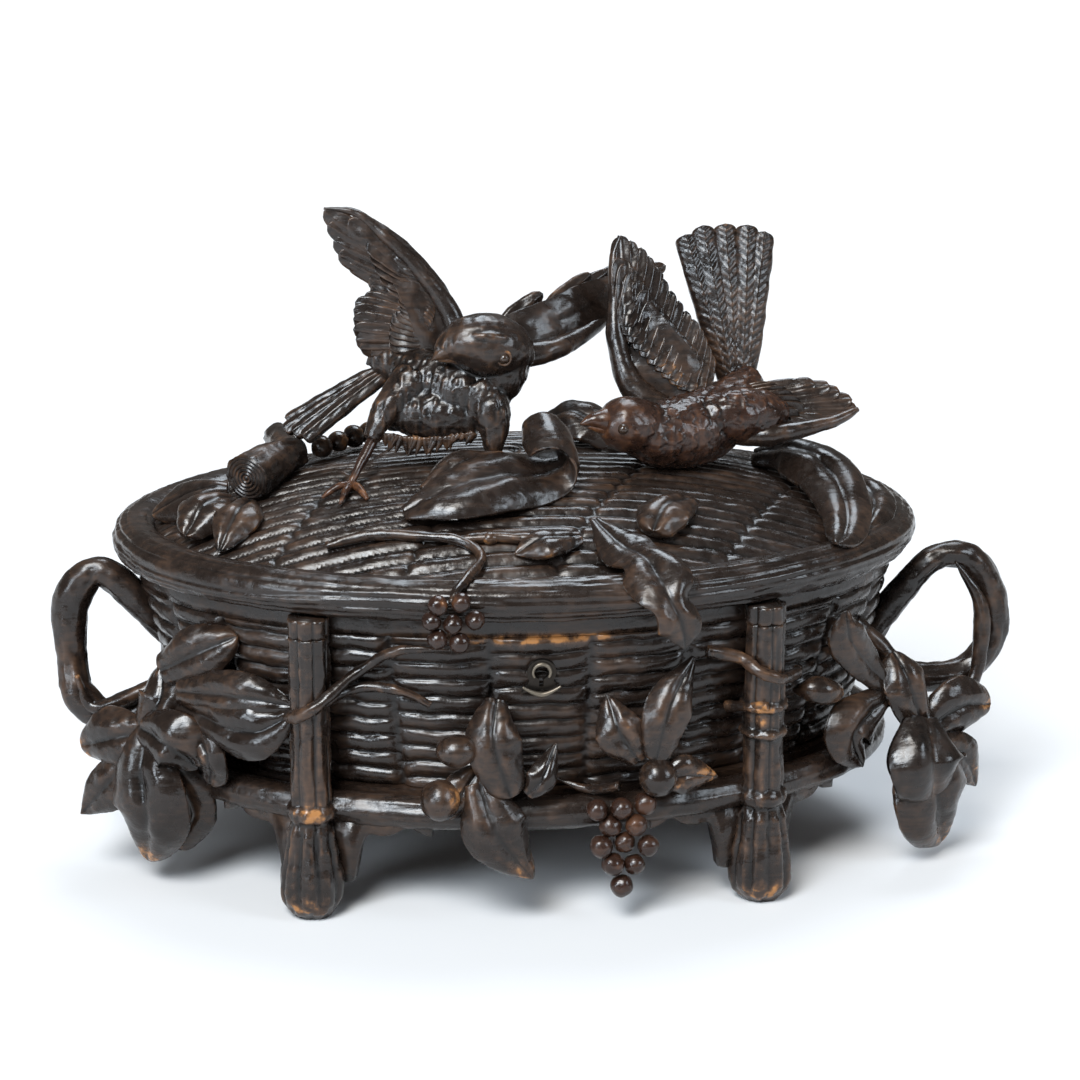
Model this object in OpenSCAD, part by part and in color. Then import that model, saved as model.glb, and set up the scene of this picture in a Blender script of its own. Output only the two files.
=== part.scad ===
// Carved wooden casket: an oval wicker basket on four reeded legs, with branch handles and sprays of
// leaves, and a hinged domed lid that carries two birds. Sizes are in millimetres. +Z is up and the
// front faces -Y. The origin is on the table, under the middle of the overall length and depth.

/* [Basket] */
// Outside length of the basket at its top edge
basket_len = 285; // [277:1:293]
// Outside depth of the basket at its top edge
basket_depth = 182; // [177:1:187]
// Height of the basket wall
wall_h = 60; // [57:1:63]
// Thickness of the basket wall
wall_t = 11; // [10:0.5:12.5]
// How far the ends of the wall lean out from base to top
wall_lean = 15; // [13:0.5:17]
// Columns of woven bars round the wall
weave_columns = 24; // [20:2:28]
// Rows of woven bars up the wall
weave_rows = 9; // [7:1:10]
// Depth of the grooves between the woven bars
weave_depth = 2.2; // [1.4:0.2:2.6]

/* [Base] */
// Height of the feet, from the table to the underside of the rail
foot_h = 34; // [32:1:36]
// Radius of the feet at their widest
foot_r = 11.5; // [10.5:0.5:12.5]
// Radius of the flat end that each foot stands on
foot_end_r = 6.5; // [5:0.5:8]
// Radius of the reeded posts
post_r = 7.5; // [6.5:0.25:8]
// Radius of the band round each post at the rail
band_r = 9.5; // [9:0.25:10]
// Where the posts stand round the oval, in degrees from its end
post_angle = 54.5; // [52:0.5:57]
// How far the posts' centres stand outside the rail's centre line
post_out = 6.5; // [6:0.25:7.5]
// Thickness of the round bottom rail
rail_d = 12; // [11:0.5:13]
// How far the rail's centre line lies outside the foot of the wall
rail_out = 8.5; // [8:0.25:10]
// Thickness of the base board
board_t = 10; // [8:0.5:11]

/* [Lid] */
// Gap between the closed lid and the basket
lid_gap = 0.3; // [0.2:0.1:0.6]
// Height of the plain frieze under the lid's rim
frieze_h = 7; // [6:0.5:8]
// Height of the rounded rim
rim_h = 15; // [14:0.5:16]
// How far the rim stands out past the basket
rim_out = 8.5; // [7:0.5:10]
// How far the drooping leaf stands out past the rim
droop_reach = 12; // [10:0.5:13]
// Rise of the domed panel above the rim's inner edge
dome_rise = 24; // [20:1:27]
// Thickness of the domed panel
dome_t = 8; // [7:0.5:9]
// Width of the woven strands on the lid
strand_w = 10; // [8:0.5:12]

/* [Handles] */
// Reach of the left handle from the middle of the basket
left_reach = 174; // [170:1:178]
// Reach of the right handle from the middle of the basket
right_reach = 189; // [184:1:194]
// Thickness of the branch that forms a handle
handle_d = 13; // [11:0.5:14]

/* [Metalwork] */
// Length of each butt hinge
hinge_len = 22; // [20:1:24]
// Distance between the middles of the two hinges
hinge_spacing = 44; // [40:2:50]
// Outside diameter of the hinge knuckles
knuckle_d = 5.2; // [4.8:0.1:5.6]
// Diameter of the hinge pins
pin_d = 2.4; // [2:0.1:2.6]
// Thickness of the hinge plates
plate_t = 1.2; // [1:0.1:1.4]
// Depth of the hinge plates on the edge of the wall
plate_depth = 8; // [7:0.5:8.5]
// Width of the lock case
lock_w = 34; // [30:1:38]
// Height of the lock case
lock_h = 19; // [18:0.5:20]
// Depth of the lock case
lock_t = 7.5; // [7:0.25:8]
// Wood left in front of the lock case, at the top edge of the wall
lock_cover = 7; // [6.5:0.25:7.5]
// Depth of the keyhole below the top edge of the basket
key_drop = 12.5; // [12:0.25:13]
// Travel of the lock bolt
bolt_travel = 5; // [4:0.5:6]

/* [Fit] */
// Gap left between glued carvings and what they sit on
fit = 0.3; // [0.2:0.05:0.4]
// Radial clearance between a pin or screw and its hole
slack = 0.06; // [0.04:0.01:0.08]

/* [Hidden] */
$fn = 32;
dark_wood = [0.22, 0.15, 0.11];
worn_wood = [0.36, 0.22, 0.13];
brass = [0.62, 0.48, 0.25];
iron = [0.2, 0.19, 0.18];
eye_bead = [0.08, 0.05, 0.035];

wall_z = foot_h + rail_d;
parting = wall_z + wall_h;
rail_z = foot_h + rail_d / 2;
rail_a = wall_a(0) + rail_out;
rail_b = wall_b(0) + rail_out;
wall_tilt = atan(wall_lean * basket_depth / basket_len / wall_h);
// Flats round each oval
segments = 48;

lid_z = parting + lid_gap;
rim_z = lid_z + frieze_h;
rim_top = rim_z + rim_h;
frieze_in = 1;
// Rabbet in the rim that the domed panel drops into
seat_z = rim_z + 4.7;
seat_in = 6.7;
dome_gap = 0.7;
dome_edge_z = seat_z + dome_t;
dome_a = basket_len / 2 - seat_in - dome_gap;
dome_b = basket_depth / 2 - seat_in - dome_gap;
crown_z = dome_edge_z + dome_rise;

// The handles and the drooping leaf reach furthest, so they set the middle of the overall box
droop_y = -basket_depth / 2 - rim_out - droop_reach;
stand_x = (left_reach - right_reach) / 2;
stand_y = droop_reach / 2;

screw_r = 1;
screw_head_r = 1.9;
board_screw_r = 1.5;
board_screw_head_r = 3;
board_screw_len = board_t + 7;

hinge_y = basket_depth / 2 + knuckle_d / 2 + lid_gap;
hinge_z = parting + lid_gap / 2;
hinge_gap = 0.3;
knuckle_len = (hinge_len - 2 * hinge_gap) / 3;
hinge_screw_x = hinge_len / 3.2;
hinge_screw_len = 6.5;

lock_y = -(basket_depth / 2 - lock_cover - lock_t / 2);
lock_screw_len = lock_t + 0.8;
lock_screw_x = lock_w / 2 - 3.2;
case_t = 1;
key_up = wall_h - key_drop;
key_z = wall_z + key_up;
key_r = 2.6;
key_slot_w = 1.6;
key_slot_h = 5.4;
key_plate_t = 1.5;
drill_r = 1;
bolt_h = 6;
bolt_len = 12.5;
bolt_gap = 0.2;
bolt_z = parting - 7.4;
tongue_t = 1.6;
tongue_h = 3.6;
// The bolt's tongue slides through the eye of a staple under the lid
eye_gap = 0.5;
slot_gap = 0.6;
staple_x = 8;
staple_t = 2;
staple_rib = 0.8;
staple_w = tongue_t + eye_gap + 2 * staple_rib;
staple_z = bolt_z - tongue_h / 2 - eye_gap - staple_rib;
link_w = 24;
link_in = 3.5;
link_screw_x = 8.5;
link_screw_len = 5.5;

berry_r = 4.1;
lid_berry_r = 3.8;
berry_gap = 0.1;
bead_r = 4.4;
stub_r = 9;
bracket_t = 6;
bracket_in = 4;

// Vectors, curves and the oval

function unit(v) = v / norm(v);

// Point on a smooth curve through the listed points or numbers, with t from 0 to 1
function curve(p, t) =
    let (n = len(p) - 1, s = min(max(t, 0), 0.99999) * n, i = floor(s), u = s - i,
        a = p[max(i - 1, 0)], b = p[i], c = p[i + 1], d = p[min(i + 2, n)])
    0.5 * (2 * b + (c - a) * u + (2 * a - 5 * b + 4 * c - d) * u * u
        + (3 * b - a - 3 * c + d) * u * u * u);

function heading(p, t) = unit(curve(p, t + 0.02) - curve(p, t - 0.02));

// Point of an oval at angle t, moved out along its normal
function oval(a, b, t, out = 0) =
    let (n = unit([b * cos(t), a * sin(t)])) [a * cos(t) + out * n.x, b * sin(t) + out * n.y];

// Places on the basket, with heights measured up from the foot of its wall
function wall_a(up) = basket_len / 2 - wall_lean * (1 - up / wall_h);
function wall_b(up) = wall_a(up) * basket_depth / basket_len;
function on_wall(t, up, out = 0) = concat(oval(wall_a(up), wall_b(up), t, out), wall_z + up);
function on_rail(t, out, up) = concat(oval(rail_a, rail_b, t, out), wall_z + up);
function by_end(side, dx, y, up) = [side * (basket_len / 2 + dx), y, wall_z + up];
function post_at(sx, sy) = let (p = oval(rail_a, rail_b, post_angle, post_out)) [sx * p.x, sy * p.y, 0];
function by_post(sx, dx, dy, up) = post_at(sx, -1) + [dx, dy, wall_z + up];
function by_corner(sx, dx, dy, up) = [sx * (basket_len / 2 + dx), post_at(sx, -1).y + dy, wall_z + up];

// Places on the lid: its height, a point above it, and a point measured up from its crown
function dome_z(x, y) =
    dome_edge_z + dome_rise * (1 - pow(min(norm([x / dome_a, y / dome_b]), 1), 2.6));
function on_dome(x, y, up = 0) = [x, y, dome_z(x, y) + up];
function on_crown(x, y, up) = [x, y, crown_z + up];

// Shells

module stand() translate([stand_x, stand_y, 0]) children();
module perch() translate([0, 0, crown_z]) children();

// Closed skin over rings of points. A loop joins the last ring to the first, otherwise both ends
// are closed by strips.
module skin(rings, loop = false) {
    n = len(rings);
    m = len(rings[0]);
    sides = [for (i = [0:(loop ? n : n - 1) - 1], j = [0:m - 1])
        let (a = i * m + j, b = i * m + (j + 1) % m, k = ((i + 1) % n) * m)
        each [[a, b, k + (j + 1) % m], [a, k + (j + 1) % m, k + j]]];
    last = (n - 1) * m;
    caps = loop ? [] : [for (j = [0:m / 2 - 2])
        each [[m - 1 - j, m - 2 - j, j + 1], [m - 1 - j, j + 1, j],
            [last + j, last + j + 1, last + m - 2 - j], [last + j, last + m - 2 - j, last + m - 1 - j]]];
    polyhedron([for (r = rings) each r], concat(sides, caps), convexity = 8);
}

// Ring of points across a path, from a profile of [side, up] pairs. A curl keeps one fixed side.
function ring_at(path, t, up, profile, side = undef) =
    let (h = heading(path, t), s = unit(is_undef(side) ? cross(h, up) : side), n = cross(s, h),
        c = curve(path, t))
    [for (p = profile) c + s * p.x + n * p.y];

// Round branch of changing radius along a path
module branch(path, radii, up = [0, 0, 1], sides = 8, steps = 12, grow = 0)
    skin([for (i = [0:steps]) let (t = i / steps, r = max(curve(radii, t), 0.3) + grow)
        ring_at(path, t, up, [for (k = [0:sides - 1]) r * [cos(360 * k / sides), sin(360 * k / sides)]])]);

// Thin blade along a midrib: half widths at even stations, cupped across, with ribs along it
module blade(rib, widths, up, cup = 0.12, t = 3, ribs = 0, steps = 6, side = undef) {
    across = ribs > 0 ? 2 * ribs : 2;
    skin([for (i = [0:steps]) let (s = i / steps, w = max(curve(widths, s), 0.6))
        ring_at(rib, s, up, concat(
            [for (j = [0:across]) let (v = 2 * j / across - 1)
                [v * w, cup * w * v * v - t * (1 - 0.4 * v * v)]],
            [for (j = [across:-1:0]) let (v = 2 * j / across - 1)
                [v * w, cup * w * v * v + (ribs > 0 && j % 2 == 0 ? -0.3 * t : 0)]]), side)]);
}

// Wing from its leading edge: chord lengths at even stations, with feather ends cut in the back edge
module wing(lead, chords, toward, feathers = 7, t = 3, camber = 2, steps = 14) {
    skin([for (i = [0:steps]) let (s = i / steps, c = curve(lead, s), h = heading(lead, s),
        chord = curve(chords, s) * (0.86 + 0.14 * abs(sin(180 * feathers * s))),
        back = unit(toward), n = unit(cross(back, h)))
        concat([for (j = [0:3]) let (v = j / 3)
                c + back * chord * v + n * (camber * sin(180 * v) - t * (1 - 0.6 * v))],
            [for (j = [3:-1:0]) let (v = j / 3) c + back * chord * v + n * camber * sin(180 * v)])]);
}

// Solid stack of ovals, each level as [half length, half depth, outward offset, height]
module oval_stack(levels, sides = segments)
    skin([for (l = levels) [for (k = [sides - 1:-1:0])
        concat(oval(l[0], l[1], 360 * k / sides, l[2]), l[3])]]);

// Hoop whose profile of [out, z] pairs runs round the top oval of the basket
module hoop(a, b, profile, sides = segments)
    skin([for (k = [0:sides - 1]) [for (p = profile)
        concat(oval(a, b, 360 * k / sides, p.x), p.y)]], loop = true);

module ball(at, r, sides = 6) translate(at) sphere(r, $fn = sides);

// Round twig as a chain of links, thinner towards its end
module twig(path, r_start, r_end, links = 8)
    for (i = [0:links - 1]) hull() {
        ball(curve(path, i / links), r_start + (r_end - r_start) * i / links);
        ball(curve(path, (i + 1) / links), r_start + (r_end - r_start) * (i + 1) / links);
    }

// Solids that carvings are scribed against

module wall_solid(grow) oval_stack([
    [wall_a(0), wall_b(0), grow, wall_z - 0.1],
    [wall_a(wall_h), wall_b(wall_h), grow, parting]]);

module rail_hoop(grow) {
    r = rail_d / 2 + grow;
    hoop(rail_a, rail_b, [for (k = [0:7]) [r * cos(45 * k), rail_z + r * sin(45 * k)]]);
}

module post_holes(grow, r = post_r) for (sx = [-1, 1], sy = [-1, 1])
    translate(post_at(sx, sy)) cylinder(r = r + grow, h = parting);

module base_solid() {
    wall_solid(fit);
    rail_hoop(fit);
    post_holes(fit);
    for (sx = [-1, 1], sy = [-1, 1]) translate(post_at(sx, sy))
        cylinder(r = max(foot_r, band_r) + fit, h = wall_z + 1);
}

rim_levels = [[-frieze_in, lid_z], [-frieze_in, rim_z], [0.5 * rim_out, rim_z + 0.04 * rim_h],
    [0.85 * rim_out, rim_z + 0.22 * rim_h], [rim_out, rim_z + 0.5 * rim_h],
    [0.85 * rim_out, rim_z + 0.8 * rim_h], [0.3 * rim_out, rim_top]];

module lid_solid(grow) oval_stack(concat(
    [for (l = rim_levels) [basket_len / 2, basket_depth / 2, l[0] + grow,
        l[1] + grow * (l[1] > rim_z + rim_h / 2 ? 1 : -1)]],
    [for (s = [1, 0.9, 0.75, 0.6, 0.45, 0.3, 0.12])
        [dome_a * s, dome_b * s, 0, max(dome_z(dome_a * s, 0), s > 0.95 ? rim_top - 1 : 0) + grow]]));

// Basket

// Groove depth at sample k round the wall and l up it: bars bulge, and neighbours are half a row apart
function weave_dip(k, l) = k % 2 == 1 ? 1 : ((l + k / 2) % 2 == 0 ? 0.8 : 0);

module basket_wall() color(dark_wood) stand() difference() {
    around = 2 * weave_columns;
    up = 2 * weave_rows;
    skin([for (k = [0:around - 1]) let (t = 360 * k / around) concat(
        [for (l = [0:up]) on_wall(t, wall_h * l / up, -weave_depth * weave_dip(k, l))],
        [on_wall(t, wall_h, -wall_t), on_wall(t, 0, -wall_t)])], loop = true);
    post_holes(fit);
    lock_pocket();
    keyhole_way();
    for (side = [-1, 1]) hinge_recess(side, parting - plate_t, plate_t + 1);
    at_board_screws() cylinder(r = board_screw_r + slack, h = board_screw_len + 0.5);
    at_hinge_screws() translate([0, 0, parting - hinge_screw_len - fit])
        cylinder(r = screw_r + slack, h = hinge_screw_len + fit);
    at_lock_screws() rotate([90, 0, 0]) cylinder(r = screw_r + slack, h = lock_screw_len + fit);
}

module base_board() color(dark_wood) stand() difference() {
    translate([0, 0, wall_z - board_t]) linear_extrude(board_t)
        polygon([for (k = [0:segments - 1]) oval(rail_a, rail_b, 360 * k / segments, -rail_d / 2 - fit)]);
    at_board_screws() board_screw(slack);
}

module bottom_rail() color(dark_wood) stand() difference() {
    rail_hoop(0);
    post_holes(fit, band_r);
}

// Legs: reeded post, band and fluted foot

module reeds(h) linear_extrude(h) {
    circle(post_r * 0.72);
    for (k = [0:6]) rotate(360 * k / 7) translate([post_r * 0.66, 0]) circle(post_r * 0.34);
}

module foot() difference() {
    rotate_extrude() polygon([[0, 0], [foot_end_r, 0], [foot_r * 0.86, 2], [foot_r, 7], [foot_r, 14],
        [foot_r * 0.9, 22], [foot_r * 0.8, 29], [foot_r * 0.78, foot_h + 0.5], [0, foot_h + 0.5]]);
    for (k = [0:8]) rotate(40 * k) translate([foot_r + 1.2, 0, -1]) cylinder(r = 2, h = foot_h - 4);
}

// Scalloped brackets that spread from a foot under the rail
module brackets() translate([-bracket_in, 0, foot_h - fit]) rotate([90, 0, 90])
    linear_extrude(bracket_t, center = true) difference() {
        for (side = [-1, 1]) {
            translate([side * 9, 0]) circle(6.5);
            translate([side * 18.5, 0]) circle(4.2);
        }
        translate([-30, 0]) square([60, 10]);
    }

module leg(sx, sy) color(dark_wood) stand() translate(post_at(sx, sy)) {
    translate([0, 0, foot_h]) reeds(parting - foot_h);
    foot();
    rotate(atan2(sy * rail_a * sin(post_angle), sx * rail_b * cos(post_angle))) brackets();
    translate([0, 0, foot_h + 1]) rotate_extrude() polygon([[0, 0], [band_r - 1.5, 0], [band_r, 2.5],
        [band_r - 1, 5], [band_r, 7.5], [band_r - 1.5, 10], [0, 10]]);
}

module leg_front_left() leg(-1, -1);
module leg_front_right() leg(1, -1);
module leg_back_left() leg(-1, 1);
module leg_back_right() leg(1, 1);

// Handles

module handle_left() color(dark_wood) stand() difference() {
    r = handle_d / 2;
    far = left_reach - basket_len / 2 - r;
    union() {
        branch([by_end(-1, -8, -6, wall_h - 20), by_end(-1, 1, -6, wall_h - 7),
            by_end(-1, 14, -5, wall_h + 3), by_end(-1, far - 1, -4, wall_h - 8),
            by_end(-1, far, -6, wall_h - 28), by_end(-1, far - 3, -10, wall_h - 44),
            by_end(-1, 9, -14, wall_h - 52), by_end(-1, -10, -14, wall_h - 46)],
            r * [1, 0.9, 0.85, 1, 0.95, 1, 0.9, 0.8], up = [0, 1, 0], steps = 18);
        twig([by_end(-1, far - 2, -16, wall_h - 34), by_end(-1, far - 8, -18, wall_h - 46),
            by_end(-1, 0, -20, wall_h - 40), by_end(-1, -12, -18, wall_h - 36)], 2.6, 3.2, 8);
    }
    base_solid();
}

module handle_right() color(dark_wood) stand() difference() {
    r = handle_d / 2;
    far = right_reach - basket_len / 2 - r;
    union() {
        branch([by_end(1, -8, -6, wall_h - 30), by_end(1, 4, -6, wall_h - 14),
            by_end(1, 16, -5, wall_h - 2), by_end(1, far - 10, -4, wall_h - 2),
            by_end(1, far - 1, -4, wall_h - 16), by_end(1, far, -6, wall_h - 32),
            by_end(1, far - 10, -9, wall_h - 45), by_end(1, 12, -12, wall_h - 47),
            by_end(1, -12, -12, wall_h - 42)],
            r * [1, 0.85, 0.8, 0.9, 1, 0.9, 0.85, 0.9, 0.9], up = [0, 1, 0], steps = 20);
        twig([by_end(1, far - 16, -10, wall_h - 2), by_end(1, far - 6, -12, wall_h - 20),
            by_end(1, far - 8, -16, wall_h - 44), by_end(1, far - 18, -24, wall_h - 56),
            by_end(1, 6, -34, wall_h - 54)], 3.4, 2.6, 8);
    }
    base_solid();
}

// Sprays on the basket

// Each petal has a midrib and half widths along it. At the ends the midribs are given as [out past
// the end, back from the front posts, up].
petal_t = 6;
petal_dome = -0.28;
left_out = [-0.6, -0.78, 0.15];
right_out = [0.6, -0.78, 0.15];
front_out = [0, -1, 0.15];
left_petals = [
    [[[-4, 31, 20], [0, 25, 2], [-2, 24, -16], [-1, 35, -37]], [4, 12, 13, 2]],
    [[[0, 29, 15], [-11, 18, 14], [-20, 22, 6]], [5, 10.5, 2]],
    [[[0, 31, 15], [-8, 32, 27], [-9, 37, 35]], [4, 8.5, 2]],
    [[[0, 31, 14], [12, 38, 9], [22, 49, 3]], [5, 9.5, 2]],
    [[[2, 33, 7], [14, 38, -10], [23, 45, -22]], [4, 8, 0.8]],
    [[[-3, 29, 9], [-17, 31, -17], [-11, 37, -34]], [4, 8, 1]],
    [[[-12, 31, 28], [-27, 17, 46], [-36, 19, 54]], [4, 11, 2]],
    [[[-12, 29, 25], [-40, 0, 29], [-55, -3, 33]], [4, 12.5, 1]],
    [[[-12, 29, 22], [-24, 12, 14], [-25, 21, -1]], [3, 4.5, 3]]];
right_petals = [
    [[[2, 29, 14], [4, 22, -6], [5, 22, -24], [13, 33, -41]], [4, 12, 14, 2]],
    [[[4, 25, 9], [-1, 16, -4], [3, 20, -17]], [5, 12.5, 3]],
    [[[7, 31, 5], [21, 37, 11], [34, 45, 8]], [5, 9, 2]],
    [[[12, 31, 0], [23, 37, -10], [29, 43, -23]], [4, 7.5, 0.8]],
    [[[-2, 29, 13], [-7, 31, 25], [-9, 35, 33]], [4, 7, 1]],
    [[[-28, 17, 57], [-25, 18, 44], [-8, 31, 22]], [1, 7.5, 4]],
    [[[-8, 31, 20], [-24, 16, 10], [-19, 23, -5]], [4, 10, 1]]];
front_left_petals = [
    [[on_wall(-96.5, 39, 6), on_wall(-97, 25, 16.5), on_wall(-95, 5, 19.5)], [4, 10, 5]],
    [[on_wall(-99.5, 10, 17), on_rail(-96.5, 15.5, -8), on_rail(-91.5, 10, -27)], [5, 12, 1]],
    [[on_wall(-92.5, 5, 17), on_wall(-90.5, 11, 18), on_wall(-88, 22, 9)], [3, 5.5, 0.8]],
    [[on_wall(-99, 14, 12.5), on_wall(-102, 6, 18.5), on_rail(-104, 13, -3)], [3, 7, 1]]];
front_right_petals = [
    [[on_wall(-76, 15, 16), on_wall(-79, 27, 15), on_wall(-80.5, 39, 5.5)], [4, 9, 1]],
    [[on_wall(-67.5, 50, 4.5), on_wall(-72, 35, 14.5), on_wall(-74, 15, 19)], [1, 8.5, 5]],
    [[on_wall(-73, 8, 19.5), on_wall(-68.5, 9, 19.5), on_wall(-63, 5, 16.5)], [4, 7, 0.6]]];

module petals(list, out) for (p = list) blade(p[0], p[1], out, cup = petal_dome, t = petal_t);

module end_petals(list, sx, out)
    petals([for (p = list) [[for (s = p[0]) by_corner(sx, s.x, s.y, s.z)], p[1]]], out);

module left_end_leaves() color(dark_wood) stand() difference() {
    union() {
        end_petals(left_petals, -1, left_out);
        twig([by_corner(-1, -22, 43, 46), by_corner(-1, -7, 34, 31), by_corner(-1, -3, 30, 14)], 4, 5, 8);
    }
    base_solid();
    left_handle_room();
}

module left_handle_room() twig([by_end(-1, -14, -18, wall_h - 36), by_end(-1, 0, -20, wall_h - 40),
    by_end(-1, 16, -17, wall_h - 48)], 6, 6, 2);

module right_end_leaves() color(dark_wood) stand() difference() {
    union() {
        end_petals(right_petals, 1, right_out);
        twig([by_corner(1, -20, 43, 44), by_corner(1, -6, 35, 30), by_corner(1, 2, 29, 8)], 4, 5, 8);
        twig([by_corner(1, -8, 31, 20), by_corner(1, -22, 19, 24), on_wall(-42, 29, 4)], 3, 2.6, 3);
        ball(on_wall(-42, 29, 4), 5, 10);
    }
    base_solid();
    right_handle_room();
}

module right_handle_room() twig([by_end(1, 24, -14, wall_h - 44), by_end(1, 18, -24, wall_h - 56),
    by_end(1, 4, -34, wall_h - 54)], 4, 4, 4);

module front_left_leaves() color(dark_wood) stand() difference() {
    union() {
        petals(front_left_petals, front_out);
        ball(on_wall(-105, 4, 19.5), 7.2, 12);
        ball(on_wall(-102.5, 22, 16), 6.5, 12);
        twig([on_wall(-104, 40, 3), on_wall(-101, 28, 8), on_wall(-98.5, 15, 15)], 2.2, 3, 8);
    }
    base_solid();
}

module front_right_leaves() color(dark_wood) stand() difference() {
    union() {
        petals(front_right_petals, front_out);
        ball(on_wall(-73, 9, 19), 7, 12);
        twig([on_wall(-70, 26, 4), on_wall(-71, 18, 8), on_wall(-73, 11, 16)], 3, 4, 8);
    }
    base_solid();
}

module front_left_stems() color(dark_wood) stand() difference() {
    union() {
        twig([by_post(-1, -3, -post_r - 1, 31), by_post(-1, 3, -post_r - 1.5, 36), on_wall(-117, 47, 2.4),
            on_wall(-110.5, 56, 2.4), on_wall(-103, 56.5, 2.2)], 2.6, 1.4, 6);
        twig([by_post(-1, 3, -post_r - 1.5, 36), on_wall(-118, 40, 2.4), on_wall(-111, 40, 2.4),
            on_wall(-106.5, 35, 2.8)], 2.2, 1.8, 5);
    }
    base_solid();
    front_left_leaf_room();
}

module front_left_leaf_room() ball(on_wall(-103, 38, 4), 6.5, 12);

module front_right_stems() color(dark_wood) stand() difference() {
    union() {
        twig([on_wall(-88, 6, 2.4), on_wall(-83, 2, 7), on_rail(-79, 8.5, 6)], 2.4, 2.2, 3);
        twig([on_wall(-65, 51, 2.6), on_wall(-60, 48, 6), by_post(1, -3, -post_r - 2, 44),
            by_post(1, 5, -post_r - 1, 41), on_wall(-48, 37.5, 7), on_wall(-46, 36, 2.6)], 2.4, 2, 7);
        twig([on_wall(-59.5, 27, 2.4), by_post(1, 0, -post_r - 1.5, 31)], 2.2, 1.8, 2);
    }
    base_solid();
}

// Flat bunch of berries: rows of the listed counts hang below a point
module berries(at, counts, r) {
    step = 2 * r + berry_gap;
    for (row = [0:len(counts) - 1], k = [0:counts[row] - 1])
        translate(at + [step * (k - (counts[row] - 1) / 2), 0, -0.88 * step * row]) sphere(r);
}

module front_berries() color(worn_wood) stand()
    berries(on_rail(-78.6, rail_d / 2 + berry_r + 2 * fit, -1.5), [3, 2, 3, 2, 1], berry_r);

// Lock

module key_shape(h) {
    cylinder(r = key_r, h = h);
    translate([-key_slot_w / 2, -key_slot_h, 0]) cube([key_slot_w, key_slot_h, h]);
}

module keyhole_plate() color(iron) stand() translate([0, -wall_b(key_up) - fit, key_z])
    rotate([90 + wall_tilt, 0, 0]) difference() {
        union() {
            cylinder(r = 2 * key_r, h = key_plate_t);
            linear_extrude(key_plate_t)
                polygon([[-key_r, 0], [key_r, 0], [7, -8], [0, -6.6], [-7, -8]]);
        }
        translate([0, 0, -1]) key_shape(key_plate_t + 2);
    }

module keyhole_way() translate([0, lock_y, key_z]) rotate([90, 0, 0]) key_shape(wall_t);

module lock_box(grow, h = lock_h) translate([-lock_w / 2 - grow, lock_y - lock_t / 2 - grow,
    parting - lock_h - grow]) cube([lock_w + 2 * grow, lock_t + 2 * grow, h + 2 * grow]);

// Mortise for the lock, open to the inside of the basket
module lock_pocket() {
    lock_box(fit / 2, lock_h + 2);
    translate([-lock_w / 2 - fit / 2, lock_y, parting - lock_h - fit / 2])
        cube([lock_w + fit, wall_t, lock_h + 2]);
}

// Case open at the back, with a slot on top for the staple and a hole for the key
module lock_case() color(brass) stand() difference() {
    lock_box(0);
    translate([-lock_w / 2 + case_t, lock_y - lock_t / 2 + case_t, parting - lock_h + case_t])
        cube([lock_w - 2 * case_t, lock_t, lock_h - 2 * case_t]);
    translate([staple_x - staple_t / 2 - slot_gap, lock_y - staple_w / 2 - slot_gap, parting - 2 * case_t])
        cube([staple_t + 2 * slot_gap, staple_w + 2 * slot_gap, 3 * case_t]);
    keyhole_way();
    at_lock_screws() rotate([90, 0, 0]) cylinder(r = screw_r + slack, h = lock_t + 1);
}

module lock_cap() color(brass) stand() difference() {
    translate([-lock_w / 2 + case_t + slack, lock_y + lock_t / 2 - case_t,
        parting - lock_h + case_t + slack])
        cube([lock_w - 2 * (case_t + slack), case_t, lock_h - 2 * (case_t + slack)]);
    translate([0, lock_y, key_z]) rotate([-90, 0, 0]) cylinder(r = drill_r + slack, h = lock_t);
    at_lock_screws() rotate([90, 0, 0]) translate([0, 0, -1]) cylinder(r = screw_r + slack, h = lock_t);
}

module lock_drill_pin() color(iron) stand() translate([0, lock_y + lock_t / 2, key_z])
    rotate([90, 0, 0]) cylinder(r = drill_r, h = lock_t + 2);

module at_lock_screws() for (sx = [-1, 1])
    translate([sx * lock_screw_x, lock_y + lock_t / 2, parting - lock_h + 3.6]) children();

module lock_screws() color(brass) stand() at_lock_screws() {
    rotate([90, 0, 0]) cylinder(r = screw_r, h = lock_screw_len);
    difference() {
        rotate([-90, 0, 0]) cylinder(r = screw_head_r, h = 0.9);
        translate([-3, 0.4, -0.25]) cube([6, 1, 0.5]);
    }
}

// Bolt drawn back, with a notch for the key in its lower edge and a tongue that reaches for the staple
module lock_bolt() color(brass) stand()
    translate([staple_x - staple_t / 2 - eye_gap - bolt_travel, lock_y, bolt_z]) {
        body_t = lock_t - 2 * (case_t + bolt_gap);
        difference() {
            translate([-bolt_len, -body_t / 2, -bolt_h / 2]) cube([bolt_len, body_t, bolt_h]);
            translate([-4, -body_t, -bolt_h / 2 - 1]) cube([2.6, 2 * body_t, 3]);
        }
        translate([-1, -tongue_t / 2, -tongue_h / 2]) cube([bolt_travel + 1, tongue_t, tongue_h]);
    }

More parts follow.
